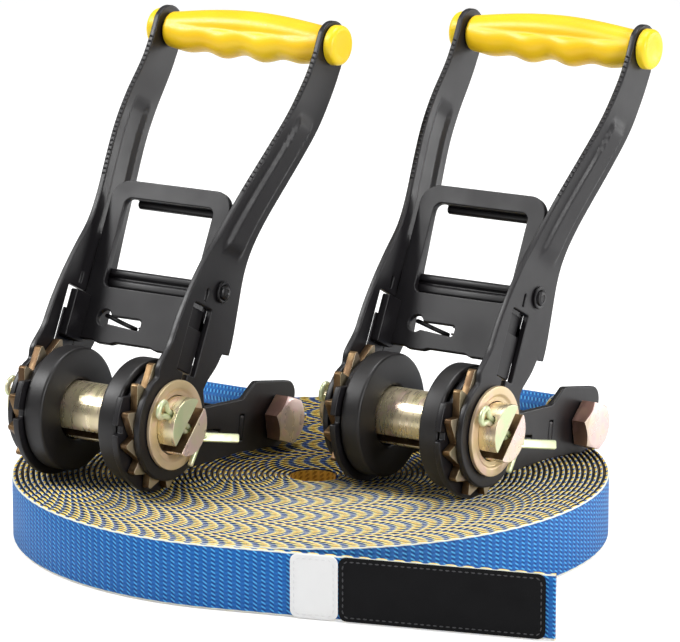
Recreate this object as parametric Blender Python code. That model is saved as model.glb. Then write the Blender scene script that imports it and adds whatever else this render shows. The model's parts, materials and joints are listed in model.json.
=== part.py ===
"""A slackline set: a flat coil of 25 mm webbing with two long-handle ratchets resting on it.

Frame: +X along the ratchets' spindles, +Y from spindle to anchor bolt, +Z up. The whole set stands
with the middle of its outline over the origin and the coil's lower edge at Z = 0.

Every ratchet piece is modelled in the frame of the body that carries it, whose origin lies on the
spindle: a base piece has +Y towards the bolt, a handle piece has +Y along the pawls' travel, and a
drum piece has +Y along the webbing slot.
"""

import math

import bmesh
import bpy
from mathutils import Matrix, Vector

MM = 0.001

# Clearances
SEAT_GAP = 0.3 * MM
RUN_GAP = 0.4 * MM
CUT_OVERRUN = 5 * MM

# Webbing and coil
WEB_WIDTH = 25 * MM
WEB_THICKNESS = 1.75 * MM
COIL_RADIUS = 118.7 * MM
COIL_PITCH = 2.2 * MM
COIL_EYE_RADIUS = 9.2 * MM
LOOPS = 22
POINTS_PER_LOOP = 24
CORE_SIDES = 48
TAIL_LENGTH = 129.4 * MM
TAIL_ANGLE = math.radians(-73.9)
TAIL_STEPS = 5
LABEL_THICKNESS = 0.7 * MM
WHITE_LABEL_START = 30.8 * MM
WHITE_LABEL_WIDTH = 18.6 * MM
BLACK_LABEL_WIDTH = 75 * MM
LABEL_CORNER = 3 * MM
LEAST_LOOP_GAP = 0.4 * MM

# Where the two ratchets lie, from the coil's centre to each spindle's middle
LEFT_PLACE = Vector((-54 * MM, -63 * MM))
RIGHT_PLACE = Vector((53.6 * MM, -4 * MM))

# Drum, from the middle plane outwards
SPINDLE_RADIUS = 11.3 * MM
SPINDLE_HALF_LENGTH = 40 * MM
SLOT_WIDTH = 5 * MM
SLOT_ANGLE = math.radians(45)
WEB_SIDE_ROOM = 1 * MM
RUBBER_RADIUS = 24.3 * MM
RUBBER_THICKNESS = 8.4 * MM
RUBBER_DISH_DEPTH = 5.3 * MM
RUBBER_RIM = 2.7 * MM
RUBBER_HUB = 4 * MM
RUBBER_ROUND = 1.1 * MM
RUBBER_SIDES = 24
WHEEL_RADIUS = 26.4 * MM
WHEEL_ROOT_RADIUS = 21 * MM
WHEEL_THICKNESS = 3.2 * MM
TEETH = 13
TOOTH_SHARES = (0.0, 0.1, 0.24)
WASHER_RADIUS = 17.5 * MM
WASHER_THICKNESS = 1.6 * MM
WASHER_STEP_RADIUS = 14.2 * MM
WASHER_STEP = 0.9 * MM
ROUND_SIDES = 24
SMALL_SIDES = 12
PIN_ANGLE = math.radians(-35)
PIN_WIRE = 1.1 * MM
PIN_LEG_OFFSET = 1.15 * MM
PIN_REACH = 24 * MM
PIN_LONG_LEG_OUT = 10 * MM
PIN_LONG_LEG_RISE = 6.5 * MM
PIN_HEAD_REACH = 18.6 * MM
PIN_EYE = 2.9 * MM
PIN_BENT_LEG = 8.5 * MM
PIN_HOLE_ROOM = 0.25 * MM

# Base
BASE_WALL = 2.5 * MM
RUBBER_TO_BASE = 0.6 * MM
BASE_LOBE_RADIUS = 27 * MM
BASE_CAM_RADIUS = 21.6 * MM
BASE_CAM_START = math.radians(151)
BASE_LOBE_START = math.radians(158)
NOTCH_START = math.radians(182)
NOTCH_END = math.radians(190)
NOTCH_DEPTH = 3.4 * MM
BOLT_DISTANCE = 82 * MM
BOLT_LOBE_RADIUS = 12 * MM
BOLT_LOBE_TOP = 15 * MM
BOLT_LOBE_CORNER = 6 * MM
WAIST_TOP_NEAR = 4.2 * MM
WAIST_TOP_FAR = 8 * MM
WAIST_END = 57 * MM
WAIST_STEP = 8 * MM
WAIST_LOW_FAR = 13.6 * MM
WAIST_LOW_START = math.radians(-46)
BOLT_RADIUS = 6 * MM
BOLT_HEAD_FLATS = 19 * MM
BOLT_HEAD_HEIGHT = 7.5 * MM
BOLT_END = 37 * MM
BOLT_SIDES = 14
NUT_HEIGHT = 9.5 * MM
HEX_CHAMFER = 1 * MM
SLEEVE_RADIUS = 8 * MM
HEX_ANGLE = math.radians(19)
CROSS_PLATE_PLACE = 56 * MM
CROSS_PLATE_THICKNESS = 2.5 * MM
CROSS_PLATE_TOP = 4 * MM
CROSS_PLATE_LOW = 11 * MM
CROSS_TAB_TOP = 1.5 * MM
CROSS_TAB_LOW = 8.5 * MM

# Lock pawl in the base
LOCK_TIP = 27.6 * MM
LOCK_LENGTH = 14.5 * MM
LOCK_EAR_LENGTH = 9 * MM
LOCK_THICKNESS = 3 * MM
LOCK_HEIGHT = -5.5 * MM
LOCK_TRAVEL = 6 * MM
LOCK_TONGUE = 2 * MM
LOCK_TONGUE_WIDTH = 10 * MM

# Sling round the bolt's sleeve
SLING_WIDTH = 24 * MM
SLING_LENGTH = 41 * MM
SLING_SEWN = 13 * MM

# Handle
HANDLE_ANGLE = math.radians(63.4)
ARM_WALL = 2.5 * MM
ARM_LOBE_RADIUS = 22 * MM
ARM_REACH = 165 * MM
GRIP_DROP = 27 * MM
ARM_TIP_RADIUS = 9.5 * MM
ARM_SPLAY = 9.5 * MM
SPLAY_START_SHARE = 0.52
SPLAY_END_SHARE = 0.74
RIB_HEIGHT = 1.5 * MM
RIB_START_SHARE = 0.43
RIB_END_SHARE = 0.91
RIB_RUN_SHARE = 0.07
ARM_WIDTH_SHARES = (0.0, 0.27, 0.38, 0.62, 0.73, 1.0)
ARM_RIB_SHARES = (0.0, 0.0, 1.0, 1.0, 0.0, 0.0)
# Front and rear edges of an arm: distance along the pawls' travel, then height over it,
# both as shares of the reach from spindle to grip
ARM_FRONT_SHARES = (
    (0.115, 0.106), (0.17, 0.086), (0.206, 0.082), (0.21, 0.081), (0.25, 0.076), (0.315, 0.062),
    (0.39, 0.046), (0.46, 0.017), (0.53, -0.014), (0.61, -0.036), (0.71, -0.062), (0.81, -0.085),
    (0.90, -0.102), (0.96, -0.108),
)
ARM_REAR_SHARES = (
    (0.115, -0.09), (0.17, -0.116), (0.206, -0.127), (0.21, -0.156), (0.25, -0.154), (0.315, -0.14),
    (0.39, -0.122), (0.46, -0.112), (0.53, -0.134), (0.61, -0.163), (0.71, -0.194), (0.81, -0.208),
    (0.90, -0.217), (0.96, -0.22),
)
LOBE_ANGLE_SHARES = (0.06, 0.16, 0.28, 0.42, 0.55)
TIP_ANGLE_SHARES = (0.2, 0.45, 0.68, 0.88)
WINDOW_LOW = 20.5 * MM
WINDOW_TOP = 47.8 * MM
WINDOW_HALF_WIDTH = 6.3 * MM
WINDOW_NOTCH_LOW = 17 * MM
WINDOW_NOTCH_HALF_WIDTH = 1.6 * MM

# Crossbar riveted between the arms
CROSSBAR_PLACE = 56.2 * MM
CROSSBAR_LOW = 51.3 * MM
CROSSBAR_TOP = 59.4 * MM
CROSSBAR_THICKNESS = 3.6 * MM
RIVET_RADIUS = 3 * MM
RIVET_NECK_SHARE = 0.4
RIVET_HEAD_RADIUS = 4.4 * MM
RIVET_HEAD_HEIGHT = 1.6 * MM

# Drive pawl with its finger loop
PAWL_PLATE_FACE = -4.6 * MM
PAWL_PLATE_THICKNESS = 2.8 * MM
PAWL_TIP = 27.2 * MM
PAWL_PLATE_LOW = 29 * MM
PAWL_PLATE_TOP = 51 * MM
PAWL_FLANGE_TOP = 46.5 * MM
PAWL_FLANGE_BACK = -6 * MM
PAWL_EAR_TOP = 36 * MM
PAWL_EAR_HALF_HEIGHT = 5 * MM
LOOP_INNER_TOP = 87.6 * MM
LOOP_OUTER_TOP = 94.8 * MM
LOOP_INNER_HALF_WIDTH = 21.3 * MM
LOOP_CORNER = 8 * MM
LOOP_INNER_CORNER = 3 * MM
LIP_LENGTH = 6.5 * MM
LIP_THICKNESS = 2.4 * MM
KEYHOLE_PLACE = 38.4 * MM
KEYHOLE_OFFSET = -16.5 * MM
KEYHOLE_RADIUS = 3.4 * MM
KEYHOLE_SLOT_END = 1.4 * MM
KEYHOLE_SLOT_HALF_WIDTH = 2.3 * MM
KEYHOLE_SLOT_DROP = 1.2 * MM
SPRING_TAB_LOW = 33 * MM
SPRING_TAB_THICKNESS = 2.2 * MM
SPRING_TAB_HALF_WIDTH = 5 * MM
DRIVE_TRAVEL = 8 * MM

# Springs
SPRING_WIRE = 0.45 * MM
SPRING_RADIUS = 2.8 * MM
SPRING_CURLS = 4
POINTS_PER_CURL = 8

# Grip
GRIP_TUBE_RADIUS = 5 * MM
GRIP_TUBE_BORE = 3.6 * MM
GRIP_END_RADIUS = 6.8 * MM
GRIP_CROWN = 3.4 * MM
GRIP_BELLY = 3.2 * MM
GRIP_GROOVE_DEPTH = 1.5 * MM
GRIP_GROOVES = 4
GRIP_STATIONS = 16
GRIP_SIDES = 12
CAP_RADIUS = 8 * MM
CAP_THICKNESS = 4.2 * MM
CAP_ROUND = 1.6 * MM
CAP_SIDES = 16

# Half distances from the middle plane, worked outwards
RUBBER_IN = WEB_WIDTH / 2 + WEB_SIDE_ROOM
RUBBER_OUT = RUBBER_IN + RUBBER_THICKNESS
BASE_IN = RUBBER_OUT + RUBBER_TO_BASE
BASE_OUT = BASE_IN + BASE_WALL
WHEEL_IN = BASE_OUT + RUN_GAP
WHEEL_OUT = WHEEL_IN + WHEEL_THICKNESS
ARM_IN = WHEEL_OUT + RUN_GAP
ARM_OUT = ARM_IN + ARM_WALL
WASHER_IN = ARM_OUT + RUN_GAP
WASHER_OUT = WASHER_IN + WASHER_THICKNESS
PIN_HOLE_RADIUS = PIN_LEG_OFFSET + PIN_WIRE + PIN_HOLE_ROOM
PIN_PLACE = WASHER_OUT + SEAT_GAP + PIN_HOLE_RADIUS
SPINDLE_BORE = SPINDLE_RADIUS + RUN_GAP
ARM_TIP_IN = ARM_IN + ARM_SPLAY
ARM_TIP_OUT = ARM_OUT + ARM_SPLAY

# Heights: the base's two lobes stand on the coil
SPINDLE_HEIGHT = WEB_WIDTH + SEAT_GAP + BASE_LOBE_RADIUS
BASE_TILT = -math.asin((BASE_LOBE_RADIUS - BOLT_LOBE_RADIUS) / BOLT_DISTANCE)
LAST_TURN_RADIUS = COIL_RADIUS - LOOPS * COIL_PITCH - WEB_THICKNESS
CORE_RADIUS = LAST_TURN_RADIUS * math.cos(math.pi / POINTS_PER_LOOP) - SEAT_GAP

COLOURS = {
    "webbing": ((0.02, 0.16, 0.5, 1), 0.75, 0),
    "webbing edges": ((0.75, 0.55, 0.14, 1), 0.85, 0),
    "white cloth": ((0.9, 0.9, 0.9, 1), 0.8, 0),
    "black cloth": ((0.02, 0.02, 0.02, 1), 0.75, 0),
    "black powder coat": ((0.03, 0.03, 0.035, 1), 0.45, 0.2),
    "yellow zinc": ((0.78, 0.62, 0.32, 1), 0.3, 1),
    "pink zinc": ((0.75, 0.55, 0.5, 1), 0.3, 1),
    "rubber": ((0.035, 0.035, 0.04, 1), 0.7, 0),
    "spring steel": ((0.25, 0.25, 0.25, 1), 0.35, 1),
    "yellow plastic": ((1.0, 0.62, 0.02, 1), 0.35, 0),
    "yellow cap": ((0.98, 0.78, 0.02, 1), 0.35, 0),
}


def clear_scene():
    for item in list(bpy.data.objects):
        bpy.data.objects.remove(item, do_unlink=True)


def material(name):
    """A fresh Principled material in one of the set's finishes."""
    made = bpy.data.materials.new(name)
    made.use_nodes = True
    colour, roughness, metallic = COLOURS[name]
    shader = made.node_tree.nodes["Principled BSDF"]
    shader.inputs["Base Color"].default_value = colour
    shader.inputs["Roughness"].default_value = roughness
    shader.inputs["Metallic"].default_value = metallic
    return made


def placed(name, data, carrier, finish):
    """Puts a mesh or curve in the scene under the empty of the body that carries it."""
    made = bpy.data.objects.new(name, data)
    bpy.context.collection.objects.link(made)
    made.parent = carrier
    if finish:
        data.materials.append(material(finish))
    return made


def empty(name, location, parent=None, tilt=0):
    made = bpy.data.objects.new(name, None)
    bpy.context.collection.objects.link(made)
    made.location = location
    made.rotation_euler = (tilt, 0, 0)
    made.parent = parent
    return made


def mesh_from(name, rings, closed_path=False):
    """Skins rings of points into one closed mesh. Each ring is a loop of points. The ends get caps
    unless the path closes on itself."""
    shape = bmesh.new()
    loops = [[shape.verts.new(point) for point in ring] for ring in rings]
    pairs = list(zip(loops, loops[1:]))
    if closed_path:
        pairs.append((loops[-1], loops[0]))
    count = len(loops[0])
    for first, second in pairs:
        for i in range(count):
            j = (i + 1) % count
            shape.faces.new((first[i], first[j], second[j], second[i]))
    if not closed_path:
        shape.faces.new(loops[0])
        shape.faces.new(loops[-1])
    bmesh.ops.recalc_face_normals(shape, faces=shape.faces)
    data = bpy.data.meshes.new(name)
    shape.to_mesh(data)
    shape.free()
    data.shade_smooth()
    data.set_sharp_from_angle(angle=math.radians(30))
    return data


def slab(name, outline, low, high):
    """A plate: an outline in Y and Z, extruded along X from low to high."""
    return mesh_from(name, [[(x, y, z) for y, z in outline] for x in (low, high)])


def turned(name, profile, sides, centre=(0, 0)):
    """A ring turned about an axis parallel to X, from a closed profile of (x, radius)."""
    rings = []
    for step in range(sides):
        angle = math.tau * step / sides
        across, up = math.cos(angle), math.sin(angle)
        rings.append([(x, centre[0] + radius * across, centre[1] + radius * up) for x, radius in profile])
    return mesh_from(name, rings, closed_path=True)


def arc(centre, radius, start, end, steps):
    """Points along an arc in Y and Z, both ends included."""
    return [
        (centre[0] + radius * math.cos(angle), centre[1] + radius * math.sin(angle))
        for angle in (start + (end - start) * step / steps for step in range(steps + 1))
    ]


def circle(centre, radius, sides=ROUND_SIDES):
    return arc(centre, radius, 0, math.tau, sides)[:-1]


def box_outline(low_y, high_y, low_z, high_z):
    return [(low_y, low_z), (high_y, low_z), (high_y, high_z), (low_y, high_z)]


def cutter(name, meshes, target):
    """Takes solids out of the target with one Boolean, and keeps them as a hidden guide."""
    shape = bmesh.new()
    for data in meshes:
        shape.from_mesh(data)
    joined = bpy.data.meshes.new(name)
    shape.to_mesh(joined)
    shape.free()
    guide = placed(name, joined, target.parent, None)
    guide.hide_render = True
    guide.display_type = "WIRE"
    cut = target.modifiers.new(name, "BOOLEAN")
    cut.operation = "DIFFERENCE"
    cut.object = guide
    return guide


def joined(name, parts, carrier, finish):
    """One solid from overlapping meshes: the first with Boolean unions of the others."""
    base = placed(name, parts[0], carrier, finish)
    for number, data in enumerate(parts[1:]):
        helper = placed(f"{name}_join_{number}", data, carrier, None)
        helper.hide_render = True
        helper.display_type = "WIRE"
        union = base.modifiers.new(f"join {number}", "BOOLEAN")
        union.operation = "UNION"
        union.object = helper
    return base


def wire(name, points, radius, carrier, finish, resolution=1):
    """A round wire through points, with its ends filled."""
    data = bpy.data.curves.new(name, "CURVE")
    data.dimensions = "3D"
    data.bevel_depth = radius
    data.bevel_resolution = resolution
    data.use_fill_caps = True
    spline = data.splines.new("POLY")
    spline.points.add(len(points) - 1)
    for spot, point in zip(spline.points, points):
        spot.co = (*point, 1)
    return placed(name, data, carrier, finish)


def smooth_step(value, start, end):
    share = min(max((value - start) / (end - start), 0), 1)
    return share * share * (3 - 2 * share)


def coil_angle_and_radius(step):
    """The webbing's middle line, counted back from where its tail leaves the coil."""
    turns = step / POINTS_PER_LOOP
    return TAIL_ANGLE - math.tau * turns, COIL_RADIUS - WEB_THICKNESS / 2 - COIL_PITCH * turns


def webbing(root):
    """The outer turns as one unbroken strip that runs on into the straight tail."""
    outward = Vector((math.cos(TAIL_ANGLE), math.sin(TAIL_ANGLE)))
    along = Vector((-outward.y, outward.x))
    half = WEB_THICKNESS / 2
    leaves = outward * (COIL_RADIUS - half)
    spots = [
        (leaves + along * (TAIL_LENGTH * step / TAIL_STEPS), outward) for step in range(TAIL_STEPS, 0, -1)
    ]
    for step in range(LOOPS * POINTS_PER_LOOP + 1):
        angle, radius = coil_angle_and_radius(step)
        out = Vector((math.cos(angle), math.sin(angle)))
        spots.append((out * radius, out))
    gaps = []
    for (first, _), (second, _) in zip(spots[TAIL_STEPS:], spots[TAIL_STEPS + POINTS_PER_LOOP:]):
        gaps.append((first - second).length * math.cos(math.pi / POINTS_PER_LOOP) - WEB_THICKNESS)
    least = min(gaps)
    print(f"least gap between turns of the coil: {least / MM:.2f} mm, wanted over {LEAST_LOOP_GAP / MM:.1f}")
    rings = []
    for spot, out in spots:
        inner, outer = spot - out * half, spot + out * half
        rings.append([(*inner, 0), (*outer, 0), (*outer, WEB_WIDTH), (*inner, WEB_WIDTH)])
    placed("webbing", mesh_from("webbing", rings), root, "webbing")


def coil_core(root):
    """The inner turns as a plain ring with the coil's eye in it."""
    rings = []
    for step in range(CORE_SIDES):
        angle = math.tau * step / CORE_SIDES
        out = (math.cos(angle), math.sin(angle))
        rings.append(
            [
                (out[0] * radius, out[1] * radius, height)
                for radius, height in (
                    (COIL_EYE_RADIUS, 0),
                    (CORE_RADIUS, 0),
                    (CORE_RADIUS, WEB_WIDTH),
                    (COIL_EYE_RADIUS, WEB_WIDTH),
                )
            ]
        )
    placed("coil_core", mesh_from("coil_core", rings, closed_path=True), root, "webbing edges")


def label(name, start, width, finish, root):
    """A sewn label on the outer face of the tail, with its corners rounded."""
    low, high = SEAT_GAP, WEB_WIDTH - SEAT_GAP
    outline = []
    for centre_along, centre_up, turn in (
        (start + width - LABEL_CORNER, low + LABEL_CORNER, -1),
        (start + width - LABEL_CORNER, high - LABEL_CORNER, 0),
        (start + LABEL_CORNER, high - LABEL_CORNER, 1),
        (start + LABEL_CORNER, low + LABEL_CORNER, 2),
    ):
        first, last = turn * math.pi / 2, (turn + 1) * math.pi / 2
        outline += arc((centre_along, centre_up), LABEL_CORNER, first, last, 3)
    data = slab(name, outline, SEAT_GAP, SEAT_GAP + LABEL_THICKNESS)
    # Local X is outwards from the tail, local Y along it
    data.transform(Matrix.Translation((COIL_RADIUS, 0, 0)))
    data.transform(Matrix.Rotation(TAIL_ANGLE, 4, "Z"))
    placed(name, data, root, finish)


def spread(side, low, high):
    """A pair of X places, low first, on the chosen side."""
    return (low, high) if side > 0 else (-high, -low)


def half_round(radius, flat, side):
    """The outline of a D: an arc and a flat parallel to Y, on the side given."""
    start = math.asin(flat / radius)
    outline = arc((0, 0), radius, start, math.pi - start, 12)
    return outline if side > 0 else [(-y, -z) for y, z in outline]


def pin_line(turn_from_drum):
    """Unit vectors along and across the split pin, in the drum's frame."""
    angle = PIN_ANGLE - turn_from_drum
    return Vector((0, math.cos(angle), math.sin(angle))), Vector((0, -math.sin(angle), math.cos(angle)))


def spindle_halves(name, drum):
    along, across = pin_line(SLOT_ANGLE)
    for side, word in ((1, "upper"), (-1, "lower")):
        outline = half_round(SPINDLE_RADIUS, SLOT_WIDTH / 2, side)
        half = placed(
            f"{name}_spindle_{word}",
            slab("spindle", outline, -SPINDLE_HALF_LENGTH, SPINDLE_HALF_LENGTH),
            drum,
            "yellow zinc",
        )
        reach = SPINDLE_RADIUS + CUT_OVERRUN
        holes = []
        for place in (-PIN_PLACE, PIN_PLACE):
            rings = []
            for distance in (-reach, reach):
                rings.append(
                    [
                        Vector((place + PIN_HOLE_RADIUS * math.cos(turn), 0, 0))
                        + across * (PIN_HOLE_RADIUS * math.sin(turn))
                        + along * distance
                        for turn in (math.tau * step / 12 for step in range(12))
                    ]
                )
            holes.append(mesh_from("pin hole", rings))
        cutter(f"{name}_spindle_{word}_holes", holes, half)


def split_pin(name, side, word, drum):
    """A split pin: the long leg opened outwards, the eye, and the short leg bent away where it comes out."""
    along, across = pin_line(SLOT_ANGLE)
    out = Vector((side, 0, 0))
    middle = out * PIN_PLACE
    clear = SPINDLE_RADIUS + PIN_WIRE
    points = [middle + out * PIN_LONG_LEG_OUT + along * PIN_REACH + across * PIN_LONG_LEG_RISE]
    points.append(middle + along * (clear + PIN_WIRE) + across * PIN_LEG_OFFSET)
    points.append(middle - along * clear + across * PIN_LEG_OFFSET)
    eye = middle - along * (PIN_HEAD_REACH - PIN_EYE)
    for step in range(7):
        turn = math.radians(60 + 40 * step)
        points.append(eye + along * (PIN_EYE * math.cos(turn)) + across * (PIN_EYE * math.sin(turn)))
    points.append(middle - along * clear - across * PIN_LEG_OFFSET)
    points.append(middle + along * clear - across * PIN_LEG_OFFSET)
    bend = middle + along * (clear + PIN_WIRE) - across * (PIN_LEG_OFFSET + PIN_WIRE)
    points.append(bend)
    points.append(bend - across * PIN_BENT_LEG)
    wire(f"{name}_split_pin_{word}", points, PIN_WIRE, drum, "yellow zinc")


def rubber_disc(name, side, word, drum):
    """A dished disc: flat towards the webbing, hollowed outside between its rim and its hub."""
    bore = SPINDLE_RADIUS + SEAT_GAP
    profile = [
        (RUBBER_IN, bore),
        (RUBBER_IN, RUBBER_RADIUS - RUBBER_ROUND),
        (RUBBER_IN + RUBBER_ROUND, RUBBER_RADIUS),
        (RUBBER_OUT - RUBBER_ROUND, RUBBER_RADIUS),
        (RUBBER_OUT, RUBBER_RADIUS - RUBBER_ROUND),
        (RUBBER_OUT, RUBBER_RADIUS - RUBBER_RIM),
        (RUBBER_OUT - RUBBER_DISH_DEPTH, RUBBER_RADIUS - RUBBER_RIM - RUBBER_ROUND),
        (RUBBER_OUT - RUBBER_DISH_DEPTH, bore + RUBBER_HUB),
        (RUBBER_OUT, bore + RUBBER_HUB - RUBBER_ROUND),
        (RUBBER_OUT, bore),
    ]
    mesh = turned("rubber disc", [(side * x, radius) for x, radius in profile], RUBBER_SIDES)
    placed(f"{name}_rubber_disc_{word}", mesh, drum, "rubber")


def ratchet_wheel(name, side, word, drum):
    """A toothed wheel keyed on both spindle halves: its two D holes leave a web in the slot."""
    pitch = math.tau / TEETH
    root_share, tip_share, crest_share = TOOTH_SHARES
    outline = []
    for tooth in range(TEETH):
        for radius, share in (
            (WHEEL_ROOT_RADIUS, root_share),
            (WHEEL_RADIUS, tip_share),
            (WHEEL_RADIUS, crest_share),
        ):
            angle = pitch * (tooth + share)
            outline.append((radius * math.cos(angle), radius * math.sin(angle)))
    low, high = spread(side, WHEEL_IN, WHEEL_OUT)
    wheel = placed(f"{name}_wheel_{word}", slab("ratchet wheel", outline, low, high), drum, "yellow zinc")
    holes = [
        slab(
            "spindle hole",
            half_round(SPINDLE_RADIUS + SEAT_GAP, SLOT_WIDTH / 2 - SEAT_GAP, which),
            low - CUT_OVERRUN,
            high + CUT_OVERRUN,
        )
        for which in (1, -1)
    ]
    cutter(f"{name}_wheel_{word}_holes", holes, wheel)


def retaining_disc(name, side, word, drum):
    bore = SPINDLE_RADIUS + SEAT_GAP
    profile = [
        (WASHER_IN, bore),
        (WASHER_IN, WASHER_RADIUS),
        (WASHER_OUT, WASHER_RADIUS),
        (WASHER_OUT, WASHER_STEP_RADIUS),
        (WASHER_OUT - WASHER_STEP, WASHER_STEP_RADIUS - WASHER_STEP),
        (WASHER_OUT - WASHER_STEP, bore),
    ]
    mesh = turned("retaining disc", [(side * x, radius) for x, radius in profile], ROUND_SIDES)
    placed(f"{name}_retaining_disc_{word}", mesh, drum, "yellow zinc")


def base_outline():
    """A side plate from above the drum, round its lobes and along the waist, in the base's frame."""
    bolt = (BOLT_DISTANCE, 0)
    low_turn = math.radians(-100)
    cam_end = math.asin(WAIST_TOP_NEAR / BASE_CAM_RADIUS)
    points = arc((0, 0), BASE_CAM_RADIUS, cam_end, BASE_CAM_START, 10)
    points += arc((0, 0), BASE_LOBE_RADIUS, BASE_LOBE_START, NOTCH_START, 3)
    points += arc((0, 0), BASE_LOBE_RADIUS - NOTCH_DEPTH, NOTCH_START, NOTCH_END, 1)
    points += arc((0, 0), BASE_LOBE_RADIUS, NOTCH_END, WAIST_LOW_START + math.tau, 12)
    points.append((WAIST_END, -WAIST_LOW_FAR))
    points += arc(bolt, BOLT_LOBE_RADIUS, low_turn, 0, 7)
    corner = (BOLT_DISTANCE + BOLT_LOBE_RADIUS - BOLT_LOBE_CORNER, BOLT_LOBE_TOP - BOLT_LOBE_CORNER)
    points += arc(corner, BOLT_LOBE_CORNER, 0, math.pi / 2, 4)
    points.append((WAIST_END + WAIST_STEP, BOLT_LOBE_TOP))
    points.append((WAIST_END, WAIST_TOP_FAR))
    return points


def base_plate(name, side, word, base):
    low, high = spread(side, BASE_IN, BASE_OUT)
    shape = slab("base plate", base_outline(), low, high)
    plate = placed(f"{name}_base_plate_{word}", shape, base, "black powder coat")
    ends = (low - CUT_OVERRUN, high + CUT_OVERRUN)
    lock_low = LOCK_HEIGHT - LOCK_THICKNESS / 2 - SEAT_GAP
    lock_top = LOCK_HEIGHT + LOCK_THICKNESS / 2 + SEAT_GAP
    cutter(
        f"{name}_base_plate_{word}_holes",
        [
            slab("spindle bore", circle((0, 0), SPINDLE_BORE), *ends),
            slab("bolt hole", circle((BOLT_DISTANCE, 0), BOLT_RADIUS + SEAT_GAP, BOLT_SIDES), *ends),
            slab(
                "lock slot",
                box_outline(
                    LOCK_TIP - SEAT_GAP * 2,
                    LOCK_TIP + LOCK_EAR_LENGTH + LOCK_TRAVEL + SEAT_GAP,
                    lock_low,
                    lock_top,
                ),
                *ends,
            ),
            slab(
                "cross plate slot",
                box_outline(
                    CROSS_PLATE_PLACE - SEAT_GAP,
                    CROSS_PLATE_PLACE + CROSS_PLATE_THICKNESS + SEAT_GAP,
                    -CROSS_TAB_LOW - SEAT_GAP,
                    CROSS_TAB_TOP + SEAT_GAP,
                ),
                *ends,
            ),
        ],
        plate,
    )


def cross_plate(name, base):
    """The plate across the base that backs the lock spring, with a tab into each side plate."""
    wall = BASE_IN - SEAT_GAP
    tab = BASE_OUT
    front, back = CROSS_PLATE_PLACE, CROSS_PLATE_PLACE + CROSS_PLATE_THICKNESS
    outline = [
        (-wall, -CROSS_PLATE_LOW), (wall, -CROSS_PLATE_LOW), (wall, -CROSS_TAB_LOW), (tab, -CROSS_TAB_LOW),
        (tab, CROSS_TAB_TOP), (wall, CROSS_TAB_TOP), (wall, CROSS_PLATE_TOP), (-wall, CROSS_PLATE_TOP),
        (-wall, CROSS_TAB_TOP), (-tab, CROSS_TAB_TOP), (-tab, -CROSS_TAB_LOW), (-wall, -CROSS_TAB_LOW),
    ]
    rings = [[(x, y, z) for x, z in outline] for y in (front, back)]
    placed(f"{name}_cross_plate", mesh_from("cross plate", rings), base, "black powder coat")


def lock_pawl(name, base):
    """A plate that slides in the side plates, with an ear beyond each of them at the wheel."""
    body = BASE_IN - SEAT_GAP
    ear = WHEEL_OUT
    tip, ear_end, end = LOCK_TIP, LOCK_TIP + LOCK_EAR_LENGTH, LOCK_TIP + LOCK_LENGTH
    tongue, tongue_end = LOCK_TONGUE_WIDTH / 2, end + LOCK_TONGUE
    outline = [
        (-ear, tip), (ear, tip), (ear, ear_end), (body, ear_end), (body, end), (tongue, end),
        (tongue, tongue_end), (-tongue, tongue_end), (-tongue, end), (-body, end), (-body, ear_end),
        (-ear, ear_end),
    ]
    low, high = LOCK_HEIGHT - LOCK_THICKNESS / 2, LOCK_HEIGHT + LOCK_THICKNESS / 2
    rings = [[(x, y, z) for x, y in outline] for z in (low, high)]
    placed(f"{name}_lock_pawl", mesh_from("lock pawl", rings), base, "black powder coat")


def spring(name, start, end, height, carrier):
    """A compression spring along Y, as one unbroken wire."""
    first, last = start + SEAT_GAP + SPRING_WIRE, end - SEAT_GAP - SPRING_WIRE
    steps = SPRING_CURLS * POINTS_PER_CURL
    points = []
    for step in range(steps + 1):
        turn = math.tau * step / POINTS_PER_CURL
        along = first + (last - first) * step / steps
        points.append((SPRING_RADIUS * math.cos(turn), along, height + SPRING_RADIUS * math.sin(turn)))
    gap = (Vector(points[POINTS_PER_CURL]) - Vector(points[0])).length - 2 * SPRING_WIRE
    print(f"least gap between curls of {name}: {gap / MM:.2f} mm")
    wire(name, points, SPRING_WIRE, carrier, "spring steel")


def hexagon(centre, flats, turn):
    """The six corners, from the distance across flats."""
    return arc(centre, flats / 2 / math.cos(math.pi / 6), turn, turn + math.tau, 6)[:-1]


def hex_block(centre, flats, turn, low, high):
    """A hexagon along X whose outer end is drawn in a little."""
    rings = []
    inner, outer = (low, high) if abs(low) < abs(high) else (high, low)
    sign = math.copysign(1, outer - inner)
    for x, size in (
        (inner, flats),
        (outer - sign * HEX_CHAMFER, flats),
        (outer, flats - 2 * HEX_CHAMFER),
    ):
        rings.append([(x, y, z) for y, z in hexagon(centre, size, turn)])
    return mesh_from("hexagon", rings)


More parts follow.
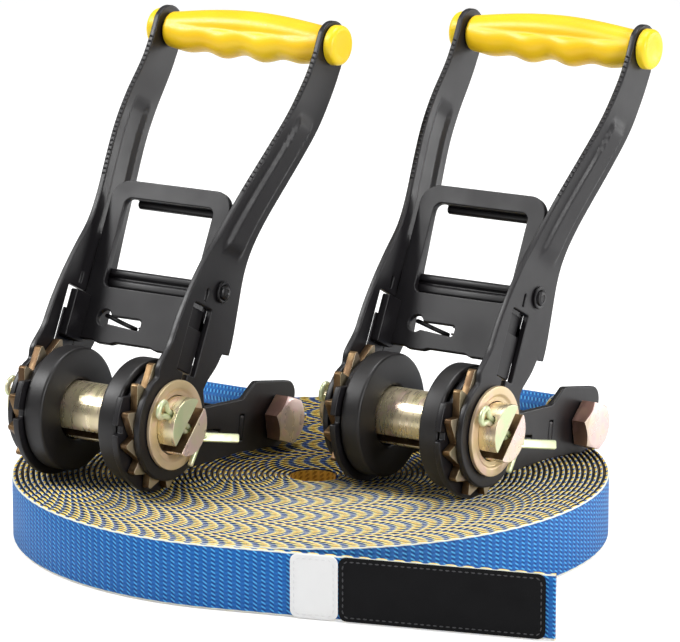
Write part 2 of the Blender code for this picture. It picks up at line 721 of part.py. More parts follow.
def anchor_bolt(name, base):
    """Bolt, nut and sleeve at the far end of the base."""
    centre = (BOLT_DISTANCE, 0)
    turn = HEX_ANGLE
    head_in = BASE_OUT + SEAT_GAP
    shank = slab("shank", circle(centre, BOLT_RADIUS, BOLT_SIDES), -BOLT_END, head_in + HEX_CHAMFER)
    head = hex_block(centre, BOLT_HEAD_FLATS, turn, head_in, head_in + BOLT_HEAD_HEIGHT)
    joined(f"{name}_anchor_bolt", [head, shank], base, "pink zinc")
    nut_mesh = hex_block(centre, BOLT_HEAD_FLATS, turn, -head_in, -head_in - NUT_HEIGHT)
    nut = placed(f"{name}_anchor_nut", nut_mesh, base, "pink zinc")
    nut_ends = (-head_in - NUT_HEIGHT - CUT_OVERRUN, -head_in + CUT_OVERRUN)
    bore = slab("nut bore", circle(centre, BOLT_RADIUS + SEAT_GAP, BOLT_SIDES), *nut_ends)
    cutter(f"{name}_anchor_nut_bore", [bore], nut)
    end = BASE_IN - SEAT_GAP
    sleeve_bore = BOLT_RADIUS + SEAT_GAP
    profile = [(-end, sleeve_bore), (-end, SLEEVE_RADIUS), (end, SLEEVE_RADIUS), (end, sleeve_bore)]
    placed(f"{name}_bolt_sleeve", turned("sleeve", profile, BOLT_SIDES, centre), base, "yellow zinc")


def sling(name, ratchet):
    """A strap doubled round the bolt's sleeve and sewn together, drooping onto the coil. It is drawn
    level, not in the base's tilted frame, because it lies on the coil."""
    centre = Vector((BOLT_DISTANCE * math.cos(BASE_TILT), BOLT_DISTANCE * math.sin(BASE_TILT)))
    inner = SLEEVE_RADIUS + SEAT_GAP
    outer = inner + WEB_THICKNESS
    floor = -BASE_LOBE_RADIUS + SEAT_GAP
    end = centre.x + SLING_LENGTH
    sewn = end - SLING_SEWN
    thick = 2 * WEB_THICKNESS
    top_turn = math.radians(68)
    low_turn = math.radians(-80)
    outside = arc(centre, outer, top_turn, math.tau + low_turn, 14)
    outside += [(sewn, floor), (end, floor), (end, floor + thick), (sewn, floor + thick + SEAT_GAP)]
    inside = arc(centre, inner, top_turn, math.tau + low_turn, 14)
    inside += [(sewn - SEAT_GAP, floor + WEB_THICKNESS)]
    half = SLING_WIDTH / 2
    strap = placed(f"{name}_sling", slab("sling", outside, -half, half), ratchet, "webbing")
    cutter(f"{name}_sling_eye", [slab("sling eye", inside, -half - CUT_OVERRUN, half + CUT_OVERRUN)], strap)


def arm_stations():
    """(along, front, rear) of an arm, from the round lobe under the spindle to the round tip."""
    stations = []
    for share in LOBE_ANGLE_SHARES:
        turn = math.pi * share
        half = ARM_LOBE_RADIUS * math.sin(turn)
        stations.append((-ARM_LOBE_RADIUS * math.cos(turn), half, -half))
    for (along, front), (_, rear) in zip(ARM_FRONT_SHARES, ARM_REAR_SHARES):
        stations.append((along * ARM_REACH, front * ARM_REACH, rear * ARM_REACH))
    for share in TIP_ANGLE_SHARES:
        turn = math.pi / 2 * share
        half = ARM_TIP_RADIUS * math.cos(turn)
        stations.append((ARM_REACH + ARM_TIP_RADIUS * math.sin(turn), half - GRIP_DROP, -half - GRIP_DROP))
    return stations


def arm(name, side, word, handle):
    """A stamped arm: it widens at the windows, splays outwards above them and has one long rib."""
    rings = []
    for along, front, rear in arm_stations():
        share = along / ARM_REACH
        out = ARM_SPLAY * smooth_step(share, SPLAY_START_SHARE, SPLAY_END_SHARE)
        rise = smooth_step(share, RIB_START_SHARE, RIB_START_SHARE + RIB_RUN_SHARE)
        fall = smooth_step(share, RIB_END_SHARE - RIB_RUN_SHARE, RIB_END_SHARE)
        rib = RIB_HEIGHT * rise * (1 - fall)
        across = [rear + (front - rear) * width for width in ARM_WIDTH_SHARES]
        lifts = [out + rib * lift for lift in ARM_RIB_SHARES]
        ring = [(side * (ARM_IN + lift), along, height) for height, lift in zip(across, lifts)]
        ring += [(side * (ARM_OUT + lift), along, height) for height, lift in zip(across[::-1], lifts[::-1])]
        rings.append(ring)
    blade = placed(f"{name}_arm_{word}", mesh_from("arm", rings), handle, "black powder coat")
    low, high = spread(side, ARM_IN - CUT_OVERRUN, ARM_TIP_OUT + CUT_OVERRUN)
    window = [
        (WINDOW_LOW, -WINDOW_HALF_WIDTH),
        (WINDOW_TOP, -WINDOW_HALF_WIDTH),
        (WINDOW_TOP, WINDOW_HALF_WIDTH),
        (WINDOW_LOW, WINDOW_HALF_WIDTH),
        (WINDOW_LOW, WINDOW_NOTCH_HALF_WIDTH),
        (WINDOW_NOTCH_LOW, WINDOW_NOTCH_HALF_WIDTH),
        (WINDOW_NOTCH_LOW, -WINDOW_NOTCH_HALF_WIDTH),
        (WINDOW_LOW, -WINDOW_NOTCH_HALF_WIDTH),
    ]
    outlines = [
        circle((0, 0), SPINDLE_BORE),
        window,
        circle((CROSSBAR_PLACE, crossbar_height()), RIVET_RADIUS + SEAT_GAP, SMALL_SIDES),
        circle((ARM_REACH, -GRIP_DROP), GRIP_TUBE_RADIUS + SEAT_GAP, SMALL_SIDES),
    ]
    cutter(f"{name}_arm_{word}_holes", [slab("arm hole", outline, low, high) for outline in outlines], blade)


def crossbar_height():
    """The crossbar lies just behind the drive pawl's plate."""
    return PAWL_PLATE_FACE - PAWL_PLATE_THICKNESS - RUN_GAP - SEAT_GAP - CROSSBAR_THICKNESS / 2


def crossbar(name, handle):
    """A flat bar between the arms with a rivet end through each of them."""
    height = crossbar_height()
    half = CROSSBAR_THICKNESS / 2
    outline = box_outline(CROSSBAR_LOW, CROSSBAR_TOP, height - half, height + half)
    bar = slab("bar", outline, -ARM_IN + SEAT_GAP, ARM_IN - SEAT_GAP)
    centre = (CROSSBAR_PLACE, height)
    head_in = ARM_OUT + SEAT_GAP
    head_out = head_in + RIVET_HEAD_HEIGHT
    profile = []
    for x, radius in (
        (head_out, RIVET_HEAD_RADIUS / 2),
        (head_out - RIVET_HEAD_HEIGHT / 2, RIVET_HEAD_RADIUS),
        (head_in, RIVET_HEAD_RADIUS),
        (head_in, RIVET_RADIUS),
        (ARM_IN, RIVET_RADIUS),
        (ARM_IN, CROSSBAR_THICKNESS * RIVET_NECK_SHARE),
    ):
        profile.append((x, radius))
    rings = [[(x, *spot) for spot in circle(centre, radius, SMALL_SIDES)] for x, radius in profile]
    rings += [[(-x, *spot) for spot in circle(centre, radius, SMALL_SIDES)] for x, radius in profile[::-1]]
    joined(f"{name}_crossbar", [mesh_from("rivets", rings), bar], handle, "black powder coat")


def loop_corner(along, across, radius, start):
    return arc((along, across), radius, start, start + math.pi / 2, 4)


def drive_pawl(name, handle):
    """One stamping: the pawl plate with an ear at each wheel, and the finger loop above it."""
    face, back = PAWL_PLATE_FACE, PAWL_PLATE_FACE - PAWL_PLATE_THICKNESS
    side = ARM_IN - RUN_GAP
    inner = LOOP_INNER_HALF_WIDTH
    quarter = math.pi / 2
    outside = [(PAWL_PLATE_LOW, -side), (PAWL_PLATE_LOW, side)]
    outside += loop_corner(LOOP_OUTER_TOP - LOOP_CORNER, side - LOOP_CORNER, LOOP_CORNER, 0)[::-1]
    outside += loop_corner(LOOP_OUTER_TOP - LOOP_CORNER, LOOP_CORNER - side, LOOP_CORNER, -quarter)[::-1]
    opening = []
    for along, across, start in (
        (LOOP_INNER_TOP - LOOP_INNER_CORNER, inner - LOOP_INNER_CORNER, 0),
        (PAWL_PLATE_TOP + LOOP_INNER_CORNER, inner - LOOP_INNER_CORNER, quarter),
        (PAWL_PLATE_TOP + LOOP_INNER_CORNER, LOOP_INNER_CORNER - inner, 2 * quarter),
        (LOOP_INNER_TOP - LOOP_INNER_CORNER, LOOP_INNER_CORNER - inner, 3 * quarter),
    ):
        opening += loop_corner(along, across, LOOP_INNER_CORNER, start)
    plate = mesh_from("pawl plate", [[(x, y, z) for y, x in outside] for z in (back, face)])
    parts = [plate]
    for mirror in (1, -1):
        flange = [
            (PAWL_TIP, PAWL_EAR_HALF_HEIGHT),
            (PAWL_TIP, -PAWL_EAR_HALF_HEIGHT),
            (PAWL_PLATE_LOW, PAWL_FLANGE_BACK),
            (PAWL_FLANGE_TOP, PAWL_FLANGE_BACK),
            (PAWL_FLANGE_TOP, face + PAWL_PLATE_THICKNESS),
            (PAWL_EAR_TOP, PAWL_EAR_HALF_HEIGHT),
        ]
        parts.append(slab("flange", flange, *spread(mirror, WHEEL_IN, side)))
        ear_half = PAWL_EAR_HALF_HEIGHT - SEAT_GAP
        ear = box_outline(PAWL_TIP + SEAT_GAP, PAWL_EAR_TOP - SEAT_GAP, -ear_half, ear_half)
        parts.append(slab("ear", ear, *spread(mirror, side - WHEEL_THICKNESS / 2, ARM_OUT - SEAT_GAP)))
    lip_low = LOOP_INNER_TOP + SEAT_GAP
    lip = box_outline(lip_low, lip_low + LIP_THICKNESS, back - LIP_LENGTH, (face + back) / 2)
    lip_end = inner - LOOP_INNER_CORNER
    parts.append(slab("lip", lip, -lip_end, lip_end))
    tab = box_outline(
        SPRING_TAB_LOW,
        SPRING_TAB_LOW + SPRING_TAB_THICKNESS,
        drive_spring_height() - SPRING_RADIUS - SPRING_WIRE,
        (face + back) / 2,
    )
    parts.append(slab("spring tab", tab, -SPRING_TAB_HALF_WIDTH, SPRING_TAB_HALF_WIDTH))
    pawl = joined(f"{name}_drive_pawl", parts, handle, "black powder coat")
    ends = (back - LIP_LENGTH - CUT_OVERRUN, face + CUT_OVERRUN)
    slot_middle = KEYHOLE_PLACE - KEYHOLE_SLOT_DROP
    keyhole_slot = [
        (slot_middle - KEYHOLE_SLOT_HALF_WIDTH, KEYHOLE_OFFSET),
        (slot_middle - KEYHOLE_SLOT_HALF_WIDTH, KEYHOLE_SLOT_END),
        (slot_middle + KEYHOLE_SLOT_HALF_WIDTH, KEYHOLE_SLOT_END),
        (slot_middle + KEYHOLE_SLOT_HALF_WIDTH, KEYHOLE_OFFSET),
    ]
    round_hole = circle((KEYHOLE_PLACE, KEYHOLE_OFFSET), KEYHOLE_RADIUS, SMALL_SIDES)
    for number, outline in enumerate((opening, round_hole, keyhole_slot)):
        low = ends[0] if number else back - SEAT_GAP
        data = mesh_from("opening", [[(x, y, z) for y, x in outline] for z in (low, ends[1])])
        cutter(f"{name}_drive_pawl_cut_{number}", [data], pawl)


def drive_spring_height():
    """The drive spring lies behind the pawl's plate, in line with the crossbar."""
    return crossbar_height() - (SPRING_RADIUS + SPRING_WIRE - CROSSBAR_THICKNESS / 2)


def grip_radius(share, turn):
    """The grip's radius at a share of its length: crowned above, with finger grooves below."""
    swell = math.sin(math.pi * share)
    up = max(math.cos(turn), 0)
    down = max(-math.cos(turn), 0)
    wave = (1 - math.cos(math.tau * GRIP_GROOVES * share)) / 2
    return (
        GRIP_END_RADIUS
        + GRIP_CROWN * swell * up
        + (GRIP_BELLY * math.sqrt(swell) - GRIP_GROOVE_DEPTH * (1 - wave) * swell) * down
    )


def grip(name, handle):
    """The moulded grip on its tube. Its grooves face down the handle, towards the finger loop."""
    half = ARM_TIP_IN - SEAT_GAP
    bore = GRIP_TUBE_RADIUS + SEAT_GAP
    centre = (ARM_REACH, -GRIP_DROP)
    turns = [math.tau * step / GRIP_SIDES for step in range(GRIP_SIDES)]
    shape = []
    for station in range(GRIP_STATIONS + 1):
        share = station / GRIP_STATIONS
        x = half * (2 * share - 1)
        ring = []
        for turn in turns:
            radius = grip_radius(share, turn)
            ring.append((x, centre[0] + radius * math.cos(turn), centre[1] + radius * math.sin(turn)))
        shape.append(ring)
    for x in (half, -half):
        shape.append([(x, *spot) for spot in circle(centre, bore, GRIP_SIDES)])
    placed(f"{name}_grip", mesh_from("grip", shape, closed_path=True), handle, "yellow plastic")
    end = ARM_TIP_OUT + SEAT_GAP + CAP_THICKNESS / 2
    outer = GRIP_TUBE_RADIUS
    profile = [(-end, GRIP_TUBE_BORE), (-end, outer), (end, outer), (end, GRIP_TUBE_BORE)]
    placed(f"{name}_grip_tube", turned("grip tube", profile, SMALL_SIDES, centre), handle, "spring steel")


def grip_cap(name, side, word, handle):
    """A cap over the end of the tube, outside the arm."""
    centre = (ARM_REACH, -GRIP_DROP)
    inner = ARM_TIP_OUT + SEAT_GAP
    outer = inner + CAP_THICKNESS
    socket = inner + CAP_THICKNESS / 2 + SEAT_GAP
    bore = GRIP_TUBE_RADIUS + SEAT_GAP
    rings = []
    for x, radius in (
        (socket, bore),
        (inner, bore),
        (inner, CAP_RADIUS),
        (outer - CAP_ROUND, CAP_RADIUS),
        (outer - CAP_ROUND / 3, CAP_RADIUS - CAP_ROUND / 2),
        (outer, CAP_RADIUS - 2 * CAP_ROUND),
    ):
        rings.append([(side * x, *spot) for spot in circle(centre, radius, CAP_SIDES)])
    placed(f"{name}_grip_cap_{word}", mesh_from("grip cap", rings), handle, "yellow cap")


def ratchet(name, place, root):
    """One ratchet: base, handle and drum, each under its own empty on the spindle's axis."""
    carrier = empty(f"{name}_ratchet", (place.x, place.y, SPINDLE_HEIGHT), root)
    base = empty(f"{name}_base", (0, 0, 0), carrier, BASE_TILT)
    handle = empty(f"{name}_handle", (0, 0, 0), carrier, HANDLE_ANGLE)
    drum = empty(f"{name}_drum", (0, 0, 0), carrier, SLOT_ANGLE)
    spindle_halves(name, drum)
    for side, word in ((1, "near"), (-1, "far")):
        rubber_disc(name, side, word, drum)
        ratchet_wheel(name, side, word, drum)
        retaining_disc(name, side, word, drum)
        split_pin(name, side, word, drum)
        base_plate(name, side, word, base)
        arm(name, side, word, handle)
        grip_cap(name, side, word, handle)
    cross_plate(name, base)
    lock_pawl(name, base)
    spring(f"{name}_lock_spring", LOCK_TIP + LOCK_LENGTH + LOCK_TONGUE, CROSS_PLATE_PLACE, LOCK_HEIGHT, base)
    anchor_bolt(name, base)
    sling(name, carrier)
    crossbar(name, handle)
    drive_pawl(name, handle)
    tab_top = SPRING_TAB_LOW + SPRING_TAB_THICKNESS
    spring(f"{name}_drive_spring", tab_top, CROSSBAR_LOW, drive_spring_height(), handle)
    grip(name, handle)


def stand_on_origin(root):
    """Moves the set so that the middle of its outline is over the origin and it stands at height zero."""
    scene_now = bpy.context.evaluated_depsgraph_get()
    spots = []
    for item in bpy.data.objects:
        if item.type in {"MESH", "CURVE"} and not item.hide_render:
            shown = item.evaluated_get(scene_now)
            spots += [shown.matrix_world @ corner.co for corner in shown.to_mesh().vertices]
            shown.to_mesh_clear()
    low = Vector([min(spot[axis] for spot in spots) for axis in range(3)])
    high = Vector([max(spot[axis] for spot in spots) for axis in range(3)])
    root.location = (-(low.x + high.x) / 2, -(low.y + high.y) / 2, -low.z)
    place = root.location / MM
    print(f"coil centre at {place.x:.3f}, {place.y:.3f}, {place.z:.3f} mm")


def main():
    clear_scene()
    root = empty("slackline", (0, 0, 0))
    webbing(root)
    coil_core(root)
    label("white_label", WHITE_LABEL_START, WHITE_LABEL_WIDTH, "white cloth", root)
    black_start = WHITE_LABEL_START + WHITE_LABEL_WIDTH + SEAT_GAP
    label("black_label", black_start, BLACK_LABEL_WIDTH, "black cloth", root)
    ratchet("left", LEFT_PLACE, root)
    ratchet("right", RIGHT_PLACE, root)
    stand_on_origin(root)


main()
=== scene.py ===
# %% [markdown]
# # A slackline set, from CAD frame to finished picture
#
# The real thing is one long flat webbing wound into a coil, with two long-handle ratchets lying on
# it. The CAD model says where every piece is and how it moves. This lesson dresses each piece:
# finer edges, real finishes, and the woven pattern of the webbing. Every finished piece rides on
# the CAD body it belongs to, so the handles, drums and pawls still move.

import json
import math
from functools import partial

import bmesh
import bpy
from mathutils import Matrix, Vector
from mathutils.geometry import delaunay_2d_cdt


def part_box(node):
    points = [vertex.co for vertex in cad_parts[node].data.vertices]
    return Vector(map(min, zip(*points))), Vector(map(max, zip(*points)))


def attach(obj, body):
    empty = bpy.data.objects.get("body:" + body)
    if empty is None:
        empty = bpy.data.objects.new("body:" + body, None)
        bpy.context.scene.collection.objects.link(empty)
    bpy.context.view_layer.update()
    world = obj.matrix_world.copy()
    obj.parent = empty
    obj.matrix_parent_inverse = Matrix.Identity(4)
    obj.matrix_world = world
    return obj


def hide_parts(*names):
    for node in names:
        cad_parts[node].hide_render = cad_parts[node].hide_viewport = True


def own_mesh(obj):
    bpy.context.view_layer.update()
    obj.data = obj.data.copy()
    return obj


MM = 0.001
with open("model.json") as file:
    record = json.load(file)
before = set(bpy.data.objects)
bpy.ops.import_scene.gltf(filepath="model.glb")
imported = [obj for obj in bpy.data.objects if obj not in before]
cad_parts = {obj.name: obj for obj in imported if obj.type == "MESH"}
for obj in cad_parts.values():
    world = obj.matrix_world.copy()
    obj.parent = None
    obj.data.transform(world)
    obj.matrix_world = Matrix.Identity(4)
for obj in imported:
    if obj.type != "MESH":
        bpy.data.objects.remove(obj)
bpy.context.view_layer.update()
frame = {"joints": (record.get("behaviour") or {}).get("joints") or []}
joints = {joint["name"]: joint for joint in frame["joints"]}
spindle = {side: Vector(joints[f"{side}_handle_turn"]["pos_m"]) for side in ("left", "right")}
core_low, core_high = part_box("coil_core")
coil_middle = Vector(((core_low.x + core_high.x) / 2, (core_low.y + core_high.y) / 2, 0))
print("coil centre", tuple(round(value / MM, 2) for value in coil_middle), "mm")


def mm(*values):
    """Numbers or points, from millimetres to metres."""
    return [tuple(mm(*value)) if isinstance(value, tuple) else value * MM for value in values]


# %% [markdown]
# ## Camera
#
# The photograph is taken from a little above, well to the right of the spindles' ends, through a
# long lens. Aiming the camera slightly beside the coil puts the set where the photograph has it,
# which needs no lens shift, so views from other sides stay centred too.

# %% Camera
AZIMUTH, ELEVATION = math.radians(33.78), math.radians(15.16)
CAMERA_DISTANCE, AIM_HEIGHT = 1.6047, 12.5 * MM
FOCAL_PIXELS, PICTURE_WIDTH, PICTURE_HEIGHT = 4046.7, 680, 642
AIM_PIXEL = (311.98, 497.1)
level_x, level_y = math.sin(AZIMUTH), -math.cos(AZIMUTH)
back = Vector((level_x * math.cos(ELEVATION), level_y * math.cos(ELEVATION), math.sin(ELEVATION)))
right = Vector((-level_y, level_x, 0))
up = back.cross(right)
lens = bpy.data.cameras.new("camera")
lens.sensor_width = 36
lens.lens = FOCAL_PIXELS / PICTURE_WIDTH * lens.sensor_width
lens.clip_start, lens.clip_end = 0.1, 20
camera = bpy.data.objects.new("camera", lens)
bpy.context.scene.collection.objects.link(camera)
camera.location = coil_middle + Vector((0, 0, AIM_HEIGHT)) + back * CAMERA_DISTANCE
to_right, to_top = PICTURE_WIDTH / 2 - AIM_PIXEL[0], AIM_PIXEL[1] - PICTURE_HEIGHT / 2
aim = -back * FOCAL_PIXELS + right * to_right + up * to_top
camera.rotation_mode = "QUATERNION"
camera.rotation_quaternion = aim.to_track_quat("-Z", "Y")
bpy.context.scene.camera = camera
bpy.context.scene.view_settings.view_transform = "Standard"

# %% [markdown]
# ## Node helper
#
# Materials and Geometry Nodes are both trees of nodes. One small helper adds a node, fills its
# sockets with numbers or links, and hands back its first output, so a formula reads like one.

# %% Node helper
def node(tree, kind, inputs=None, out=0, **settings):
    """Adds a node. inputs maps socket names or numbers to values or to other nodes' sockets."""
    made = tree.nodes.new(kind)
    for key, value in settings.items():
        setattr(made, key, value)
    for key, value in (inputs or {}).items():
        socket = made.inputs[key]
        if isinstance(value, bpy.types.NodeSocket):
            tree.links.new(value, socket)
        else:
            socket.default_value = value
    return made.outputs[out]


def math_node(operation, *values):
    """One Math node on numbers and sockets, in the tree of its first socket."""
    tree = next(value.id_data for value in values if isinstance(value, bpy.types.NodeSocket))
    return node(tree, "ShaderNodeMath", dict(enumerate(values)), operation=operation)


plus, minus, times, over = (partial(math_node, word) for word in ("ADD", "SUBTRACT", "MULTIPLY", "DIVIDE"))
power, root, larger = (partial(math_node, word) for word in ("POWER", "SQRT", "MAXIMUM"))
sine_of, cosine_of = (partial(math_node, word) for word in ("SINE", "COSINE"))
absolute, sign_of, nearest = (partial(math_node, word) for word in ("ABSOLUTE", "SIGN", "ROUND"))


def between(value, low, high, to_low=0.0, to_high=1.0, smooth=True):
    """Maps a value from one range to another, held at both ends."""
    kind = "SMOOTHSTEP" if smooth else "LINEAR"
    inputs = {"Value": value, "From Min": low, "From Max": high, "To Min": to_low, "To Max": to_high}
    return node(value.id_data, "ShaderNodeMapRange", inputs, interpolation_type=kind)


def mixed(share, *colours):
    """Mixes two colours, each a socket or red, green and blue."""
    first, second = [(*colour, 1) if isinstance(colour, tuple) else colour for colour in colours]
    return node(share.id_data, "ShaderNodeMix", {0: share, 6: first, 7: second}, out=2, data_type="RGBA")


# %% [markdown]
# ## Floor and light
#
# Product photographs use a white sweep and large soft lamps. The floor catches the shadow. Only
# the camera itself sees pure white behind the set. Light on the object and its reflections come
# from a darker room, so the colours render as they are written and the steel keeps its contrast.

# %% Floor and light
ROOM_LEVEL, REFLECTED_LEVEL, FLOOR_GLOW, FLOOR_HALF = 0.34, 0.2, 0.42, 3
LAMP_AIM = Vector((0, 0, 0.08))


def ray_is(tree, kind):
    """1 for rays of a kind, such as Is Camera Ray, and 0 for all others."""
    return tree.nodes.new("ShaderNodeLightPath").outputs[kind]


world = bpy.data.worlds.new("studio")
bpy.context.scene.world = world
world.use_nodes = True
sky = world.node_tree
room = sky.nodes["Background"]
level = between(ray_is(sky, "Is Glossy Ray"), 0, 1, ROOM_LEVEL, REFLECTED_LEVEL, smooth=False)
sky.links.new(larger(level, ray_is(sky, "Is Camera Ray")), room.inputs["Strength"])
room.inputs["Color"].default_value = (1, 1, 1, 1)

floor_paint = bpy.data.materials.new("white floor")
floor_paint.use_nodes = True
tree = floor_paint.node_tree
tree.nodes.clear()
matt = node(tree, "ShaderNodeBsdfDiffuse", {"Color": (0.82, 0.82, 0.82, 1)})
shine = between(ray_is(tree, "Is Camera Ray"), 0, 1, 0, FLOOR_GLOW, smooth=False)
glow = node(tree, "ShaderNodeEmission", {"Color": (1, 1, 1, 1), "Strength": shine})
both = node(tree, "ShaderNodeAddShader", {0: matt, 1: glow})
tree.links.new(both, tree.nodes.new("ShaderNodeOutputMaterial").inputs["Surface"])

floor_mesh = bpy.data.meshes.new("floor")
signs = ((-1, -1), (1, -1), (1, 1), (-1, 1))
floor_mesh.from_pydata([(x * FLOOR_HALF, y * FLOOR_HALF, 0) for x, y in signs], [], [(0, 1, 2, 3)])
floor_mesh.materials.append(floor_paint)
floor = bpy.data.objects.new("floor", floor_mesh)
floor.location.z = -0.2 * MM
bpy.context.scene.collection.objects.link(floor)


def lamp(name, place, size, power):
    """A square area lamp that looks at the middle of the set."""
    data = bpy.data.lights.new(name, "AREA")
    data.size, data.energy = size, power
    made = bpy.data.objects.new(name, data)
    bpy.context.scene.collection.objects.link(made)
    made.location = place
    made.rotation_mode = "QUATERNION"
    made.rotation_quaternion = (LAMP_AIM - made.location).to_track_quat("-Z", "Y")


lamp("key", (-1.05, -0.75, 1.2), 0.5, 16)
lamp("overhead", (0.0, 0.2, 1.6), 0.7, 15)
lamp("side", (1.4, -0.35, 0.6), 0.45, 12)
lamp("rim", (1.2, 1.6, 0.3), 0.9, 14)

# %% [markdown]
# ## Finishes of the steel, rubber and plastic
#
# Every finish starts from one Principled shader with its own fine grain. The powder coat is nearly
# black, satin, and slightly pebbled. Yellow zinc drifts between gold, green and pink over a few
# millimetres, because the film on the zinc varies in thickness. All patterns read Object
# coordinates in metres, so a scale of 400 means features of about 2.5 mm.

# %% Finish helpers
def new_finish(name, colour, roughness, metallic=0.0, **sockets):
    """A Principled material. Returns it, its tree and its shader."""
    made = bpy.data.materials.new(name)
    made.use_nodes = True
    shader = made.node_tree.nodes["Principled BSDF"]
    shader.inputs["Base Color"].default_value = (*colour, 1)
    shader.inputs["Roughness"].default_value = roughness
    shader.inputs["Metallic"].default_value = metallic
    for key, value in sockets.items():
        shader.inputs[key.replace("_", " ")].default_value = value
    return made, made.node_tree, shader


def noise(tree, scale, detail, stretch=(1, 1, 1)):
    """Noise on Object coordinates, stretched along the axes if asked."""
    place = node(tree, "ShaderNodeTexCoord", out=3)
    place = node(tree, "ShaderNodeMapping", {"Vector": place, "Scale": stretch})
    return node(tree, "ShaderNodeTexNoise", {"Vector": place, "Scale": scale, "Detail": detail})


def bump(height, depth, strength):
    """A bump from a height of 0 to 1, with its depth in metres."""
    return node(height.id_data, "ShaderNodeBump", {"Height": height, "Distance": depth, "Strength": strength})


def link_in(shader, **sockets):
    """Links values into a shader's sockets, whose names have _ for each space."""
    for key, value in sockets.items():
        value.id_data.links.new(value, shader.inputs[key.replace("_", " ")])


# %% Steel finishes
powder_coat, tree, shader = new_finish("black powder coat", (0.006, 0.0055, 0.0065), 0.36)
pebble, cloudy = noise(tree, 1500, 2), noise(tree, 45, 3)
link_in(
    shader,
    Base_Color=mixed(cloudy, (0.004, 0.0036, 0.0044), (0.010, 0.0086, 0.0108)),
    Roughness=between(cloudy, 0.3, 0.7, 0.36, 0.5),
    Normal=bump(pebble, 0.02 * MM, 0.5),
)


def zinc(name, main, second, third, roughness, shine=0.8):
    """Yellow zinc plate: a soft drift between three tints over fine rolling marks."""
    made, tree, shader = new_finish(name, main, roughness, shine)
    drift = between(noise(tree, 85, 2), 0.42, 0.62)
    patch = between(noise(tree, 150, 3, (1.3, 0.7, 1)), 0.5, 0.7)
    grain = noise(tree, 260, 2, (3, 0.6, 0.6))
    link_in(
        shader,
        Base_Color=mixed(patch, mixed(drift, main, second), third),
        Roughness=between(grain, 0.3, 0.7, roughness - 0.06, roughness + 0.08),
        Normal=bump(grain, 0.01 * MM, 0.15),
    )
    return made


yellow_zinc = zinc("yellow zinc", (0.82, 0.70, 0.48), (0.76, 0.68, 0.42), (0.84, 0.64, 0.52), 0.3)
pale_zinc = zinc("pinkish yellow zinc", (0.80, 0.62, 0.42), (0.76, 0.60, 0.36), (0.82, 0.60, 0.48), 0.38, 0.55)
green_zinc = zinc("greenish zinc", (0.68, 0.76, 0.46), (0.74, 0.78, 0.50), (0.78, 0.72, 0.50), 0.38, 0.5)
dull_zinc = zinc("dull yellow zinc", (0.46, 0.38, 0.26), (0.38, 0.32, 0.20), (0.52, 0.40, 0.30), 0.4, 0.7)
# Painted shade: a dark brown tint for zinc faces in shade, on the spindle's slot flats and the wheels' tooth
# flanks
zinc_in_painted_shade = zinc("dark zinc with painted shade", (0.12, 0.07, 0.035), (0.18, 0.11, 0.05), (0.24, 0.16, 0.08), 0.42)
pink_zinc = zinc("pink zinc", (0.93, 0.72, 0.66), (0.88, 0.74, 0.56), (0.93, 0.66, 0.64), 0.3, 0.55)
# Painted shade: a dark copper-brown tint for the bolts' side flats and shank, which lie in shade
bolt_flats_painted_shade = zinc("bolt flats with painted shade", (0.30, 0.17, 0.14), (0.36, 0.22, 0.16), (0.42, 0.24, 0.20), 0.36)

spring_steel, tree, shader = new_finish("oiled spring steel", (0.22, 0.21, 0.20), 0.32, 1.0)
link_in(shader, Normal=bump(noise(tree, 1200, 2, (0.4, 2, 2)), 0.02 * MM, 0.4))

# %% Rubber and plastic finishes
rubber, tree, shader = new_finish("black rubber", (0.01, 0.0092, 0.0105), 0.45)
bloom = noise(tree, 60, 4)
link_in(
    shader,
    Base_Color=mixed(bloom, (0.006, 0.0056, 0.006), (0.02, 0.018, 0.0185)),
    Roughness=between(bloom, 0.3, 0.7, 0.4, 0.52),
    Normal=bump(noise(tree, 700, 3), 0.03 * MM, 0.5),
)


def moulded(name, colour, deep, roughness, grain_depth):
    """Moulded plastic: a slight drift of the colour, fine spark texture, a little light inside it."""
    inside = {"IOR": 1.49, "Subsurface_Weight": 0.08, "Subsurface_Scale": 0.004}
    made, tree, shader = new_finish(name, colour, roughness, **inside)
    shader.inputs["Subsurface Radius"].default_value = (1.0, 0.55, 0.1)
    drift, grain = noise(tree, 30, 2), noise(tree, 1300, 2)
    link_in(
        shader,
        Base_Color=mixed(between(drift, 0.3, 0.7), colour, deep),
        Roughness=between(grain, 0.3, 0.7, roughness - 0.05, roughness + 0.08),
        Normal=bump(grain, grain_depth, 0.5),
    )
    return made


grip_yellow = moulded("grip yellow", (1.0, 0.66, 0.012), (0.96, 0.56, 0.008), 0.34, 0.025 * MM)
cap_yellow = moulded("cap yellow", (0.98, 0.72, 0.018), (0.95, 0.64, 0.014), 0.36, 0.02 * MM)

# %% [markdown]
# ## The webbing's weave
#
# The outer face is a ribbed basket weave: flat columns 3.25 mm apart along the length, and where two
# columns meet, light floats and dark dips that alternate every 1.7 mm. The edges are bound with a
# cream thread along the outer side, and their yellow and blue yarns alternate every 6.55 mm. The
# webbing carries its own coordinates: the UV map holds the distance along the line and the height
# over its lower edge, and the attribute "across" goes from -1 on the inner face to 1 on the outer.

# %% Weave finish
RIB_SPACING, ROW_SPACING, EDGE_PERIOD = 3.25 * MM, 1.68 * MM, 6.55 * MM
WEB_WIDTH, WEB_THICKNESS = 25 * MM, 1.8 * MM
# The near-black colour for the gaps between turns is painted shade
CREAM, PAINTED_GAP_SHADE, EDGE_BLUE = (0.82, 0.84, 0.72), (0.004, 0.006, 0.02), (0.008, 0.08, 0.34)
PALE_YARN, GOLD_YARN, DARK_GOLD = (0.80, 0.74, 0.34), (0.93, 0.70, 0.10), (0.86, 0.50, 0.03)
FACE_SHADE, FACE_GOLD = (0.42, 0.2, 0.015), (0.9, 0.5, 0.06)
# Up to about here the line lies free on the outside, and from here on each turn lies under another
COVERED_FROM, COVERED_TO = 0.86, 0.88


